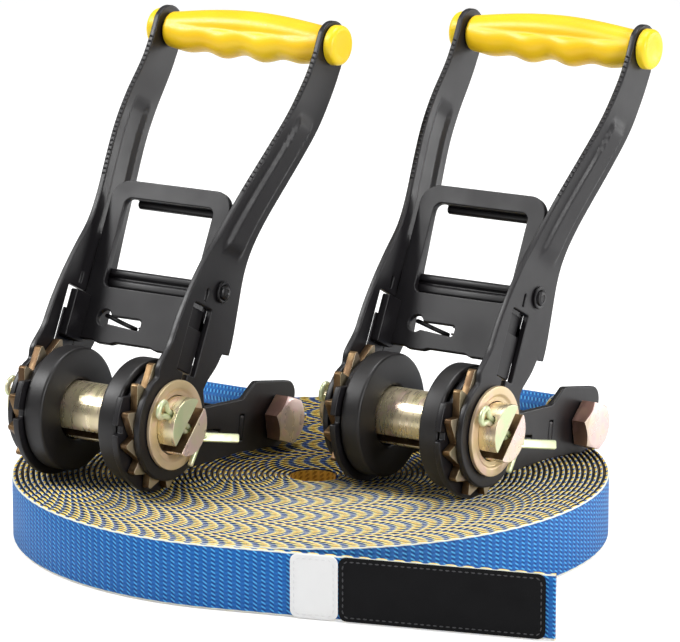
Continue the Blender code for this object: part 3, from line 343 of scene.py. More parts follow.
def weave(name, dark, light, bright):
    """Blue basket weave with bound edges and a golden inner face, and painted shade in the gaps between turns.
    """
    soft = {"Specular_IOR_Level": 0.3, "Sheen_Weight": 0.08, "Sheen_Roughness": 0.4}
    made, tree, shader = new_finish(name, light, 0.55, **soft)
    place = node(tree, "ShaderNodeUVMap", uv_map="UVMap")
    place = node(tree, "ShaderNodeSeparateXYZ", {0: place}).node
    along, height = place.outputs[0], place.outputs[1]
    across = node(tree, "ShaderNodeAttribute", attribute_name="across", out=2)
    # The face: light floats and dark dips where two ribs meet
    rib, row = over(along, RIB_SPACING), over(height, ROW_SPACING)
    across_rib = absolute(sine_of(times(rib, math.pi)))
    slant = times(minus(rib, nearest(rib)), 1.1)
    turn = times(plus(row, plus(times(nearest(rib), 0.5), slant)), math.tau)
    floats = times(between(across_rib, 0.98, 0.35), sine_of(turn))
    colour = mixed(between(sine_of(times(row, math.tau)), -1, 1, 0.45, 0.85), dark, light)
    colour = mixed(between(floats, -0.05, -0.6, 0, 0.9), colour, dark)
    colour = mixed(between(floats, 0.0, 0.7, 0, 0.9), colour, bright)
    colour = mixed(times(noise(tree, 260, 3), 0.25), colour, dark)
    face_height = plus(times(across_rib, 0.5), times(floats, 0.35))
    gold = mixed(between(face_height, 0.1, 0.8), FACE_SHADE, FACE_GOLD)
    colour = mixed(between(across, -0.55, -0.8), colour, gold)
    # The edge: yellow and blue yarns take turns, with cream thread on the outer side
    wave = cosine_of(times(plus(over(along, EDGE_PERIOD), times(across, 0.2)), math.tau))
    leaf = minus(wave, times(power(across, 2), 0.5))
    yellow = mixed(between(leaf, -0.25, 0.4), PALE_YARN, GOLD_YARN)
    yellow = mixed(between(leaf, 0.65, 0.95), yellow, DARK_GOLD)
    rim = mixed(between(leaf, -0.6, -0.25), EDGE_BLUE, yellow)
    rim = mixed(between(across, 0.40, 0.52), rim, CREAM)
    # Painted shade of the gaps between turns: nearly black on the inner side of every turn, and on the outer
    # side of the turns that lie under another
    gap = times(between(across, 0.60, 0.72), between(along, COVERED_FROM, COVERED_TO))
    rim = mixed(between(across, -0.25, -0.5), mixed(gap, rim, PAINTED_GAP_SHADE), PAINTED_GAP_SHADE)
    from_edge = minus(WEB_WIDTH / 2, absolute(minus(height, WEB_WIDTH / 2)))
    bound = between(from_edge, 0.85 * MM, 0.65 * MM)
    rim_height = plus(times(leaf, 0.4), minus(1.0, power(across, 2)))
    depth = node(tree, "ShaderNodeMix", {0: bound, 2: face_height, 3: rim_height}, data_type="FLOAT")
    link_in(shader, Base_Color=mixed(bound, colour, rim), Normal=bump(depth, 0.3 * MM, 0.8))
    return made


blue_weave = weave("blue woven webbing", (0.002, 0.045, 0.22), (0.010, 0.165, 0.54), (0.085, 0.46, 0.88))
sling_weave = weave("blue sling webbing", (0.003, 0.055, 0.26), (0.016, 0.20, 0.60), (0.10, 0.48, 0.9))


# %% Cloth and thread
THREAD_SPACING = 0.55 * MM


def cloth_finish(name, colour, deep, roughness, sheen, gloss=0.5):
    """Plain woven cloth: fine crossed threads, a slight drift of the colour, a soft sheen."""
    soft = {"Specular_IOR_Level": gloss, "Sheen_Weight": sheen, "Sheen_Roughness": 0.4}
    made, tree, shader = new_finish(name, colour, roughness, **soft)
    place = node(tree, "ShaderNodeTexCoord", out=3)
    x, y, z = node(tree, "ShaderNodeSeparateXYZ", {0: place}).node.outputs
    warp, weft = (sine_of(times(value, math.tau / THREAD_SPACING)) for value in (plus(x, y), z))
    threads = between(times(warp, weft), -1, 1)
    tone = times(plus(times(threads, 0.6), noise(tree, 90, 3)), 0.6)
    link_in(shader, Base_Color=mixed(tone, colour, deep), Normal=bump(threads, 0.08 * MM, 0.6))
    return made


white_cloth = cloth_finish("white label cloth", (0.86, 0.86, 0.85), (0.74, 0.74, 0.74), 0.75, 0.2)
black_cloth = cloth_finish("black label cloth", (0.003, 0.003, 0.0035), (0.010, 0.010, 0.011), 0.75, 0.0, 0.12)
white_thread = cloth_finish("white thread", (0.8, 0.8, 0.8), (0.66, 0.66, 0.66), 0.6, 0.2)
black_thread = cloth_finish("black thread", (0.02, 0.02, 0.022), (0.05, 0.05, 0.055), 0.5, 0.3)
blue_thread = cloth_finish("blue thread", (0.02, 0.16, 0.55), (0.05, 0.28, 0.7), 0.6, 0.2)


# %% [markdown]
# ## Winding the line with Geometry Nodes
#
# The coil is one strip of 20 metres. Its shape follows a rule, so a node tree makes it: a line of
# points, each put at its place on the spiral from its distance along the webbing, then turned into
# a curve and swept with a rounded section. Even steps along the length keep the woven pattern
# true on every turn. The strip is made in three stretches, so that each stays a light mesh.

# %% Parts of a tree
def group(name, sizes, takes_path=False):
    """An empty geometry tree with named inputs, and one more for the material."""
    tree = bpy.data.node_groups.new(name, "GeometryNodeTree")
    tree.interface.new_socket("Geometry", in_out="OUTPUT", socket_type="NodeSocketGeometry")
    if takes_path:
        tree.interface.new_socket("Path", in_out="INPUT", socket_type="NodeSocketGeometry")
    for key in sizes:
        whole = "NodeSocketInt" if isinstance(sizes[key], int) else "NodeSocketFloat"
        tree.interface.new_socket(key, in_out="INPUT", socket_type=whole)
    tree.interface.new_socket("Material", in_out="INPUT", socket_type="NodeSocketMaterial")
    entry = tree.nodes.new("NodeGroupInput")
    return tree, {socket.name: socket for socket in entry.outputs if socket.name}


def close_group(tree, shape, finish):
    """Ends a tree in Realize Instances and Set Material."""
    real = node(tree, "GeometryNodeRealizeInstances", {0: shape})
    painted = node(tree, "GeometryNodeSetMaterial", {"Geometry": real, "Material": finish})
    leave = tree.nodes.new("NodeGroupOutput")
    tree.links.new(painted, leave.inputs[0])


def grown(name, tree, values, finish, path=()):
    """Runs a tree with its values, on a path of points if it takes one, and returns a plain mesh."""
    data = bpy.data.meshes.new(name)
    data.from_pydata([tuple(point) for point in path], [(i, i + 1) for i in range(len(path) - 1)], [])
    holder = bpy.data.objects.new(name, data)
    bpy.context.scene.collection.objects.link(holder)
    modifier = holder.modifiers.new(name, "NODES")
    modifier.node_group = tree
    for item in tree.interface.items_tree:
        if item.in_out == "INPUT" and item.name != "Path":
            modifier[item.identifier] = finish if item.name == "Material" else values[item.name]
    made = bpy.data.meshes.new_from_object(holder.evaluated_get(bpy.context.evaluated_depsgraph_get()))
    holder.modifiers.remove(modifier)
    bpy.data.objects.remove(holder)
    bpy.data.meshes.remove(data)
    made.name = name
    return made


def stored(tree, shape, name, value, domain="POINT", kind="FLOAT"):
    """Keeps a value on the shape under a name."""
    keep = {"Geometry": shape, "Name": name, "Value": value}
    return node(tree, "GeometryNodeStoreNamedAttribute", keep, domain=domain, data_type=kind)


def named(tree, name):
    return node(tree, "GeometryNodeInputNamedAttribute", {"Name": name}, data_type="FLOAT")


def xyz(tree, x=0.0, y=0.0, z=0.0):
    return node(tree, "ShaderNodeCombineXYZ", {0: x, 1: y, 2: z})


# %% The tree that winds webbing
COIL_RADIUS, EYE_RADIUS, LINE_LENGTH = 118.7 * MM, 9.4 * MM, 20.0
TAIL_LENGTH, TAIL_ANGLE = 129.4 * MM, math.radians(-73.9)
STEP = EDGE_PERIOD / 6
OUTER_LINE = COIL_RADIUS - 0.875 * MM
EDGE_FROM, EDGE_TO = 11.4 * MM, 12.3 * MM
# A spiral covers the ring between its outer and inner radius with its length times its pitch
COIL_PITCH = math.pi * (OUTER_LINE**2 - EYE_RADIUS**2) / (LINE_LENGTH - TAIL_LENGTH)
print("pitch", round(COIL_PITCH / MM, 3), "mm")

WINDING = {
    "Start": 0.0, "Count": 10, "Step": STEP, "Radius": OUTER_LINE, "Pitch": COIL_PITCH,
    "Angle": TAIL_ANGLE, "Tail": TAIL_LENGTH, "Width": WEB_WIDTH, "Thickness": WEB_THICKNESS,
    "Relief": 0.3 * MM, "Shift X": 7.4 * MM, "Shift Y": -9.7 * MM,
}
winding, size = group("wound webbing", WINDING)
tree = winding
line = node(tree, "GeometryNodeMeshLine", {"Count": size["Count"]})
along = plus(size["Start"], times(node(tree, "GeometryNodeInputIndex"), size["Step"]))
wound = larger(minus(along, size["Tail"]), 0.0)
straight = larger(minus(size["Tail"], along), 0.0)
taken = over(times(wound, size["Pitch"]), math.pi)
radius = root(minus(times(size["Radius"], size["Radius"]), taken))
turns = over(minus(size["Radius"], radius), size["Pitch"])
angle = minus(size["Angle"], times(turns, math.tau))
cosine, sine = cosine_of(angle), sine_of(angle)
# The eye of the coil lies a little off its centre, so inner turns are shifted more than outer ones
drift = minus(1.0, over(radius, size["Radius"]))
place_x = plus(minus(times(radius, cosine), times(straight, sine)), times(drift, size["Shift X"]))
place_y = plus(plus(times(radius, sine), times(straight, cosine)), times(drift, size["Shift Y"]))
half_width = over(size["Width"], 2.0)
place = xyz(tree, place_x, place_y, half_width)
spots = node(tree, "GeometryNodeSetPosition", {"Geometry": line, "Position": place})
spots = stored(tree, spots, "along", along)
curve = node(tree, "GeometryNodeMeshToCurve", {0: spots})
curve = node(tree, "GeometryNodeSetCurveNormal", {"Curve": curve}, mode="Z_UP")

# The section is a rounded rectangle that keeps its own place across and over the webbing
sides = {"Width": size["Thickness"], "Height": size["Width"]}
section = node(tree, "GeometryNodeCurvePrimitiveQuadrilateral", sides, mode="RECTANGLE")
corner = {"Curve": section, "Radius": times(size["Thickness"], 0.42), "Count": 2}
section = node(tree, "GeometryNodeFilletCurve", corner, mode="POLY")
x, y, z = node(tree, "ShaderNodeSeparateXYZ", {0: node(tree, "GeometryNodeInputPosition")}).node.outputs
section = stored(tree, section, "across", over(x, over(size["Thickness"], -2.0)))
section = stored(tree, section, "height", plus(y, half_width))
strip = node(tree, "GeometryNodeCurveToMesh", {"Curve": curve, "Profile Curve": section, "Fill Caps": True})

# The bound edges swell where the yellow yarns lie and sink between them
wave = cosine_of(times(named(tree, "along"), math.tau / EDGE_PERIOD))
sink = times(minus(1.0, wave), over(size["Relief"], 2.0))
below_middle = minus(half_width, z)
at_edge = between(absolute(below_middle), EDGE_FROM, EDGE_TO)
lift = times(times(sink, sign_of(below_middle)), at_edge)
strip = node(tree, "GeometryNodeSetPosition", {"Geometry": strip, "Offset": xyz(tree, 0.0, 0.0, lift)})
flat_place = xyz(tree, named(tree, "along"), named(tree, "height"))
strip = stored(tree, strip, "UVMap", flat_place, "CORNER", "FLOAT2")
close_group(tree, strip, size["Material"])

# %% [markdown]
# ## Putting a finished piece in the frame
#
# A finished mesh gets its place baked into its points, smooth shading with sharp edges kept, the
# CAD body it rides on and the CAD nodes it stands for. Its object stays at the origin, unturned.

# %% Finished pieces
SHARP_ANGLE = 34


def finished(name, data, body, stands_for, finish, slot, place, sharp=SHARP_ANGLE):
    """Adds a piece to the scene and ties it to the frame. Edges over the sharp angle stay sharp."""
    data = data.copy()
    data.transform(place)
    data.name = name
    if finish is not None:
        data.materials.clear()
        data.materials.append(finish)
    data.shade_smooth()
    data.set_sharp_from_angle(angle=math.radians(sharp))
    made = bpy.data.objects.new(name, data)
    bpy.context.scene.collection.objects.link(made)
    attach(made, body)
    if stands_for:
        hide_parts(*stands_for)
    return made


# %% Wind the coil
at_coil = Matrix.Translation(coil_middle)
STRETCHES = (
    ("webbing_outer_turns", 0.0, 6.6, ["webbing"], "blue_webbing"),
    ("webbing_middle_turns", 6.6, 13.3, [], "yellow_webbing"),
    ("webbing_inner_turns", 13.3, LINE_LENGTH, ["coil_core"], "yellow_webbing"),
)
for name, start, end, nodes, slot in STRETCHES:
    first, last = round(start / STEP), round(end / STEP)
    data = grown(name, winding, {**WINDING, "Start": first * STEP, "Count": last - first + 1}, blue_weave)
    piece = finished(name, data, "coil", nodes, None, slot, at_coil, sharp=60)
    print(name, len(data.polygons), "faces")

# %% [markdown]
# ## Plates with rounded edges
#
# Nearly all steel in a ratchet is punched from sheet. A punched plate is an outline with holes and
# a thickness, and its edges are slightly round. A bevel modifier can fail on such outlines, so the
# rings of a rounded edge are laid directly, and the two faces are filled between them with a
# triangulation that takes extra points where the plate will be bent or embossed.

# %% Outlines
def arc(centre, radius, start, end, steps):
    """Points along an arc in a plane, both ends included. Its angles are in degrees."""
    turns = [math.radians(start + (end - start) * step / steps) for step in range(steps + 1)]
    return [(centre[0] + radius * math.cos(turn), centre[1] + radius * math.sin(turn)) for turn in turns]


def circle(centre, radius, sides):
    return arc(centre, radius, 0, 360, sides)[:-1]


def rounded_box(low_a, high_a, low_b, high_b, corner, steps=4):
    """A rectangle with round corners."""
    points = []
    for a, b, turn in ((high_a, high_b, 0), (low_a, high_b, 90), (low_a, low_b, 180), (high_a, low_b, 270)):
        inside = (a + corner if a == low_a else a - corner, b + corner if b == low_b else b - corner)
        points += arc(inside, corner, turn, turn + 90, steps)
    return points


NEARLY_STRAIGHT, MOST_OF_SIDE = math.radians(163), 0.45


def corner_spot(start, corner, end, share):
    """A spot on the soft curve from start to end that replaces a corner."""
    return start * (1 - share) ** 2 + corner * 2 * share * (1 - share) + end * share**2


def softened(points, radius, steps=4):
    """A closed outline with each corner replaced by a small round. Nearly straight ones stay."""
    made = []
    for i, spot in enumerate(points):
        here = Vector(spot)
        before, after = Vector(points[i - 1]) - here, Vector(points[(i + 1) % len(points)]) - here
        if before.angle(after) > NEARLY_STRAIGHT:
            made.append(tuple(here))
            continue
        reach = min(radius, before.length * MOST_OF_SIDE, after.length * MOST_OF_SIDE)
        start, end = here + before.normalized() * reach, here + after.normalized() * reach
        made += [tuple(corner_spot(start, here, end, step / steps)) for step in range(steps + 1)]
    return made


def both_halves(half, radius):
    """A closed outline from its half on one side of the middle, with soft corners."""
    return softened([*half, *((-x, y) for x, y in half[::-1])], radius)


def smooth_line(points, per):
    """A smooth open line through flat or spatial points, with more points between them."""
    spots = [Vector(point) for point in points]
    spots = [2 * spots[0] - spots[1], *spots, 2 * spots[-1] - spots[-2]]
    made = []
    for a, b, c, d in zip(spots, spots[1:], spots[2:], spots[3:]):
        for t in (step / per for step in range(per)):
            bend = (2 * a - 5 * b + 4 * c - d) * t**2 + (3 * b - a - 3 * c + d) * t**3
            made.append(0.5 * (2 * b + (c - a) * t + bend))
    return [*made, spots[-2]]


def area_of(loop):
    return sum(a[0] * b[1] - b[0] * a[1] for a, b in zip(loop, loop[1:] + loop[:1])) / 2


def moved_in(loop, distance):
    """A loop moved to its left, into the material, by a small distance."""
    made = []
    for i, spot in enumerate(loop):
        here = Vector(spot)
        first = (here - Vector(loop[i - 1])).normalized()
        second = (Vector(loop[(i + 1) % len(loop)]) - here).normalized()
        normal = Vector((-first.y, first.x)) + Vector((-second.y, second.x))
        normal.normalize()
        share = max(normal.dot(Vector((-first.y, first.x))), 0.5)
        made.append(tuple(here + normal * distance / share))
    return made


def holds(loop, spot):
    """True if the spot lies in the loop."""
    inside = False
    for (ax, ay), (bx, by) in zip(loop, loop[1:] + loop[:1]):
        if (ay > spot[1]) != (by > spot[1]) and spot[0] < (bx - ax) * (spot[1] - ay) / (by - ay) + ax:
            inside = not inside
    return inside


def in_metal(loops, spot):
    """True if the spot lies in the first loop and in none of the others, which are holes."""
    return holds(loops[0], spot) and not any(holds(hole, spot) for hole in loops[1:])


# %% Plates
ON_X = Matrix(((0, 0, 1, 0), (1, 0, 0, 0), (0, 1, 0, 0), (0, 0, 0, 1)))
EDGE_STEPS = 3


def as_mesh(shape):
    """A mesh from a working shape, which is given up."""
    data = bpy.data.meshes.new("shape")
    shape.to_mesh(data)
    shape.free()
    return data


def band(shape, first, second):
    """Faces between two rings of points."""
    for i in range(len(first)):
        j = (i + 1) % len(first)
        shape.faces.new((first[i], first[j], second[j], second[i]))


def plate(loops, low, high, edge=0.35 * MM, hold=0.25 * MM, extra=()):
    """A closed plate in the plane of its outlines, from height low to high. The first loop is the
    outside, the others are holes. A narrow flat ring beside each rounded edge keeps the shading of
    the faces flat."""
    loops = [loop if (area_of(loop) > 0) == (i == 0) else loop[::-1] for i, loop in enumerate(loops)]
    shape = bmesh.new()
    inner = [moved_in(loop, edge + hold) for loop in loops]
    turns = [math.pi / 2 * step / EDGE_STEPS for step in range(EDGE_STEPS + 1)]
    levels = [(edge + hold, low)]
    levels += [(edge * (1 - math.sin(turn)), low + edge * (1 - math.cos(turn))) for turn in turns]
    levels += [(inset, low + high - height) for inset, height in levels[::-1]]
    walls = []
    for loop in loops:
        rings = []
        for inset, height in levels:
            line = moved_in(loop, inset) if inset > 1e-9 else loop
            rings.append([shape.verts.new((*spot, height)) for spot in line])
        walls.append(rings)
        for first, second in zip(rings, rings[1:]):
            band(shape, first, second)
    spots, edges = [], []
    for line in inner:
        first = len(spots)
        spots += [Vector(spot) for spot in line]
        edges += [(first + i, first + (i + 1) % len(line)) for i in range(len(line))]
    clear = [spot for spot in extra if in_metal(inner, spot)]
    spots += [Vector(spot) for spot in clear]
    found, _, faces, sources, _, _ = delaunay_2d_cdt(spots, edges, [], 0, 1e-7)
    kept = [face for face in faces if all(sources[i] for i in face)]
    kept = [face for face in kept if in_metal(inner, sum((found[i] for i in face), Vector((0, 0))) / 3)]
    for ring_at, height, turn in ((0, low, -1), (-1, high, 1)):
        flat = [vert for rings in walls for vert in rings[ring_at]]
        flat += [shape.verts.new((*spot, height)) for spot in clear]
        for face in kept:
            corners = [flat[sources[i][0]] for i in face][::turn]
            if len(set(corners)) == 3 and shape.faces.get(corners) is None:
                shape.faces.new(corners)
    # At a tight inner corner the inset line crosses itself and a few tiny triangles are missing,
    # so the small openings there are closed.
    gaps = [side for side in shape.edges if len(side.link_faces) == 1]
    if gaps:
        bmesh.ops.holes_fill(shape, edges=gaps, sides=0)
        still = sum(len(side.link_faces) != 2 for side in shape.edges)
        print("plate closed at", len(gaps), "edges of tight corners, still open:", still)
    return as_mesh(shape)


def on_x(data):
    """Stands a plate up: its outline lies in Y and Z, its thickness along X."""
    data.transform(ON_X)
    return data


def side_plate(loops, side, low, high, **rest):
    """A plate at a distance from the middle plane, on the side given."""
    return on_x(plate(loops, *((low, high) if side > 0 else (-high, -low)), **rest))


# %% Skins, rings and wires
def skin(rings, closed_path=False):
    """Skins rings of points into one closed mesh."""
    shape = bmesh.new()
    loops = [[shape.verts.new(point) for point in ring] for ring in rings]
    for first, second in zip(loops, loops[1:]):
        band(shape, first, second)
    if closed_path:
        band(shape, loops[-1], loops[0])
    else:
        shape.faces.new(loops[0])
        shape.faces.new(loops[-1])
    bmesh.ops.recalc_face_normals(shape, faces=shape.faces)
    return as_mesh(shape)


def turned(profile, sides, centre=(0, 0)):
    """A ring turned about an axis parallel to X, from a closed profile of (x, radius)."""
    rings = []
    for step in range(sides):
        across, rise = math.cos(math.tau * step / sides), math.sin(math.tau * step / sides)
        rings.append([(x, centre[0] + radius * across, centre[1] + radius * rise) for x, radius in profile])
    return skin(rings, closed_path=True)


def ring_round(spot, across, rise, radius, sides):
    """Points of a circle round a spot, from two directions at right angles."""
    turns = [math.tau * step / sides for step in range(sides)]
    return [spot + (across * math.cos(turn) + rise * math.sin(turn)) * radius for turn in turns]


WIRE_SIDES, WIRE_STEPS = 14, 4
WIRE_END = [(0.35, -0.48), (0.8, -0.3), (1, 0)]


def tube_along(points, radius):
    """A round wire along a smooth line through points, with rounded ends."""
    smooth = smooth_line(points, WIRE_STEPS)
    rings = []
    normal = Vector((1, 0, 0))
    last = len(smooth) - 1
    for i, spot in enumerate(smooth):
        tangent = (smooth[min(i + 1, last)] - smooth[max(i - 1, 0)]).normalized()
        normal = (normal - tangent * normal.dot(tangent)).normalized()
        steps = WIRE_END if i == 0 else [(1, 0)]
        if i == last:
            steps = [(size, -shift) for size, shift in WIRE_END[::-1]]
        for size, shift in steps:
            middle = spot + tangent * radius * shift
            rings.append(ring_round(middle, normal, tangent.cross(normal), radius * size, WIRE_SIDES))
    return skin(rings)


# %% Joining, cutting and mirroring
def together(*shapes):
    """Several meshes as one."""
    whole = bmesh.new()
    for data in shapes:
        whole.from_mesh(data)
    return as_mesh(whole)


def cut(data, *tools):
    """Takes the tools' solids out of a mesh."""
    main = bpy.data.objects.new("main", data)
    bpy.context.scene.collection.objects.link(main)
    helpers = []
    for tool in tools:
        helper = bpy.data.objects.new("tool", tool)
        bpy.context.scene.collection.objects.link(helper)
        helpers.append(helper)
        modifier = main.modifiers.new("cut", "BOOLEAN")
        modifier.object = helper
    made = bpy.data.meshes.new_from_object(main.evaluated_get(bpy.context.evaluated_depsgraph_get()))
    for helper in (main, *helpers):
        bpy.data.objects.remove(helper)
    return made


def fix_faces(data):
    """Points all faces outwards."""
    shape = bmesh.new()
    shape.from_mesh(data)
    bmesh.ops.recalc_face_normals(shape, faces=shape.faces)
    shape.to_mesh(data)
    shape.free()


def mirrored(data):
    """The same shape on the other side of the middle plane."""
    made = data.copy()
    made.transform(Matrix.Scale(-1, 4, (1, 0, 0)))
    made.flip_normals()
    return made


# %% [markdown]
# ## Layers of a ratchet
#
# From the middle outwards a ratchet is a stack: webbing space, rubber disc, base plate, toothed
# wheel, handle arm, retaining disc, split pin. The distances repeat those of the CAD source, so
# every dressed piece stays in its own layer. Base, handle and drum are each drawn in their own
# frame, with the spindle at the origin, and then turned into place.

# %% Layers and places
RUBBER_IN, RUBBER_OUT, BASE_IN, BASE_OUT = mm(13.5, 21.9, 22.5, 25.0)
WHEEL_IN, WHEEL_OUT, ARM_IN, ARM_OUT = mm(25.4, 28.6, 29.0, 31.5)
WASHER_IN, WASHER_OUT, PIN_PLACE, SPINDLE_END = mm(31.9, 33.5, 36.3, 40.0)
BORE, BOLT, SPLAY = 11.6 * MM, (82 * MM, 0), 9.5 * MM
BASE_TILT, HANDLE_ANGLE, SLOT_ANGLE = -math.asin(15 / 82), math.radians(63.4), math.radians(45)
SIDES = ((1, "near"), (-1, "far"))
TURN = {
    "base_body": BASE_TILT, "lock_pawl_body": BASE_TILT, "handle_body": HANDLE_ANGLE,
    "drive_pawl_body": HANDLE_ANGLE, "drum_body": SLOT_ANGLE,
}
SLOTS = {
    "black_coated_steel": (powder_coat,), "spring_steel": (spring_steel,), "pink_zinc_steel": (pink_zinc,),
    "yellow_zinc_steel": (yellow_zinc, pale_zinc, green_zinc, dull_zinc), "black_rubber": (rubber,),
    "grip_plastic": (grip_yellow,), "cap_plastic": (cap_yellow,),
}
SLOT_OF = {finish.name: slot for slot, finishes in SLOTS.items() for finish in finishes}


def in_place(ratchet, body):
    """The place of a body's drawing on the left or the right ratchet."""
    return Matrix.Translation(spindle[ratchet]) @ Matrix.Rotation(TURN[body], 4, "X")


def on_both(name, data, body, stands_for, finish, sharp=SHARP_ANGLE):
    """The same piece on both ratchets, each with its own copy."""
    made = []
    for ratchet in ("left", "right"):
        tied = (f"{ratchet}_{name}", data, f"{ratchet}_{body}", [f"{ratchet}_{stands_for}"])
        made.append(finished(*tied, finish, SLOT_OF[finish.name], in_place(ratchet, body), sharp))
    return made


def tint_faces(pieces, finishes, choose):
    """Adds finishes and picks one for each face by its normal. 0 keeps the piece's own finish."""
    for piece in pieces:
        for finish in finishes:
            piece.data.materials.append(finish)
        for polygon in piece.data.polygons:
            polygon.material_index = int(choose(polygon.normal))


# %% [markdown]
# ## Base of a ratchet
#
# Two side plates hold everything. Each has a large lobe round the drum, a narrow waist and a
# smaller lobe for the bolt, with slots for the sliding lock pawl and for the tabs of the plate
# that joins the two sides. Punched plates come from the plate helper above.

# %% Side plates
DRUM_LOBE = 27 * MM


def base_outline():
    """A side plate from above the drum, round its lobes and along the waist."""
    points = arc((0, 0), 21.6 * MM, math.degrees(math.asin(4.2 / 21.6)), 151, 44)
    points += arc((0, 0), DRUM_LOBE, 158, 182, 12)
    points += arc((0, 0), 23.6 * MM, 182.5, 189.5, 3)
    points += arc((0, 0), DRUM_LOBE, 190, 314, 50)
    points += mm((57, -13.6))
    points += arc(BOLT, 12 * MM, -100, 0, 24)
    points += arc(mm(88, 9), 6 * MM, math.degrees(0.1), 90, 12)
    return softened([*points, *mm((65, 15), (57, 8))], 1.4 * MM)


spindle_bore = circle((0, 0), 11.7 * MM, 64)
pawl_slot = rounded_box(*mm(27.0, 42.9, -7.3, -3.7, 0.5))
tab_slot = rounded_box(*mm(55.7, 58.8, -8.8, 1.8, 0.5))
base_holes = [spindle_bore, circle(BOLT, 6.3 * MM, 40), pawl_slot, tab_slot]
base_near = on_x(plate([base_outline(), *base_holes], BASE_IN, BASE_OUT, edge=0.4 * MM))
for word, data in (("near", base_near), ("far", mirrored(base_near))):
    on_both(f"base_side_{word}", data, "base_body", f"base_plate_{word}", powder_coat)
print("side plate", len(base_near.polygons), "faces")

# %% Cross plate and lock pawl
WALL = 22.2
side, pawl_end = BASE_OUT / MM, WHEEL_OUT / MM
across_plate = [(WALL, -11), (WALL, -8.5), (side, -8.5), (side, 1.5), (WALL, 1.5), (WALL, 4)]
cross = plate([both_halves(mm(*across_plate), 1.0 * MM)], -58.5 * MM, -56 * MM)
cross.transform(Matrix(((1, 0, 0, 0), (0, 0, -1, 0), (0, 1, 0, 0), (0, 0, 0, 1))))
on_both("cross_wall", cross, "base_body", "cross_plate", powder_coat)

pawl_half = [(pawl_end, 27.6), (pawl_end, 36.6), (WALL, 36.6), (WALL, 42.1), (5, 42.1), (5, 44.1)]
lock = plate([both_halves(mm(*pawl_half), 0.9 * MM)], -7 * MM, -4 * MM)
on_both("lock_slide", lock, "lock_pawl_body", "lock_pawl", powder_coat)
print("cross plate", len(cross.polygons), "faces, lock pawl", len(lock.polygons), "faces")

# %% [markdown]
# ## Bolt, nut and sleeve
#
# A hexagon head is turned on its face: a shallow cone takes the corners off, which leaves the
# curved lines at the top of each flat. Rings of points round the axis give that shape directly,
# because each point's height follows from its distance to the axis.

# %% Bolt
HEX_FLATS, HEX_ANGLE, NUT_BORE = 17.8 * MM, math.radians(-9.5), 6.3 * MM


def hex_head(inner, outer, bore=0.0):
    """A hexagon along X round the bolt, whose outer face has a turned chamfer."""
    sign = math.copysign(1, outer - inner)
    face_radius, washer = HEX_FLATS * 0.475, HEX_FLATS * 0.46
    angles = [HEX_ANGLE + math.pi / 3 * (flat + step / 10) for flat in range(6) for step in range(10)]
    reach = [HEX_FLATS / 2 / math.cos((angle - HEX_ANGLE) % (math.pi / 3) - math.pi / 6) for angle in angles]
    chamfer = [outer - sign * (radius - face_radius) * 0.6 for radius in reach]
    levels = [(inner, washer), (inner + sign * 0.5 * MM, washer)]
    levels.append((inner + sign * 0.5 * MM, [radius - 0.2 * MM for radius in reach]))
    levels += [(inner + sign * 0.7 * MM, reach), (chamfer, reach)]
    levels += [(outer - sign * 0.1 * MM, face_radius + 0.25 * MM), (outer, face_radius - 0.1 * MM)]
    if bore:
        levels += [(outer, bore + 0.5 * MM), (outer - sign * 0.5 * MM, bore), (inner, bore)]
    rings = []
    for places, radii in levels:
        places, radii = (value if isinstance(value, list) else [value] * 60 for value in (places, radii))
        spots = zip(places, angles, radii)
        rings.append([(x, BOLT[0] + r * math.cos(t), BOLT[1] + r * math.sin(t)) for x, t, r in spots])
    return skin(rings, closed_path=bool(bore))


head = hex_head(BASE_OUT + 0.3 * MM, BASE_OUT + 7.8 * MM)
thread = [(-24.5 - 0.7 * step, 6.0 - 0.55 * (step % 2)) for step in range(1, 17)]
shank = [(26, 0.01), (26, 6), (-24.5, 6), *thread, (-36.4, 5.6), (-37, 4.9), (-37, 0.01)]
bolt = together(head, turned(mm(*shank), 64, BOLT))
bolts = on_both("bolt", bolt, "base_body", "anchor_bolt", pink_zinc, sharp=22)
# The side flats and shank get painted shade, a dark copper-brown tint, and the outer face keeps the pink zinc
tint_faces(bolts, [bolt_flats_painted_shade], lambda normal: abs(normal.x) < 0.2)
nut = hex_head(-BASE_OUT - 0.3 * MM, -BASE_OUT - 9.8 * MM, NUT_BORE)
on_both("nut", nut, "base_body", "anchor_nut", pink_zinc, sharp=22)
pipe = mm((-22.2, 6.3), (-22.2, 7.7), (-21.9, 8), (21.9, 8), (22.2, 7.7), (22.2, 6.3))
on_both("sleeve", turned(pipe, 64, BOLT), "base_body", "bolt_sleeve", yellow_zinc)
print("bolt", len(bolt.polygons), "faces, nut", len(nut.polygons), "faces")

# %% [markdown]
# ## Stitches and serrations with Geometry Nodes
#
# Sewing repeats one short stitch along a line. The tree takes a line of points, spaces stitches
# evenly along it, turns each one along the line and lets it stand a little proud of the cloth.
# The same tree makes the serrations pressed into the front edges of the handle's arms.

# %% Stitch tree
STITCH = {"Spacing": 2.4 * MM, "Length": 1.7 * MM, "Width": 0.55 * MM, "Height": 0.3 * MM}
sewing, size = group("stitches", STITCH, takes_path=True)
line = node(sewing, "GeometryNodeMeshToCurve", {0: size["Path"]})
even = {"Curve": line, "Length": size["Spacing"]}
spots = node(sewing, "GeometryNodeResampleCurve", even, mode="LENGTH")
tangent = node(sewing, "GeometryNodeInputTangent")
stitch = node(sewing, "GeometryNodeMeshUVSphere", {"Segments": 8, "Rings": 5, "Radius": 0.5})
shape = xyz(sewing, size["Length"], size["Width"], size["Height"])
facing = node(sewing, "FunctionNodeAlignRotationToVector", {"Vector": tangent}, axis="X")
laid = {"Points": spots, "Instance": stitch, "Rotation": facing, "Scale": shape}
close_group(sewing, node(sewing, "GeometryNodeInstanceOnPoints", laid), size["Material"])

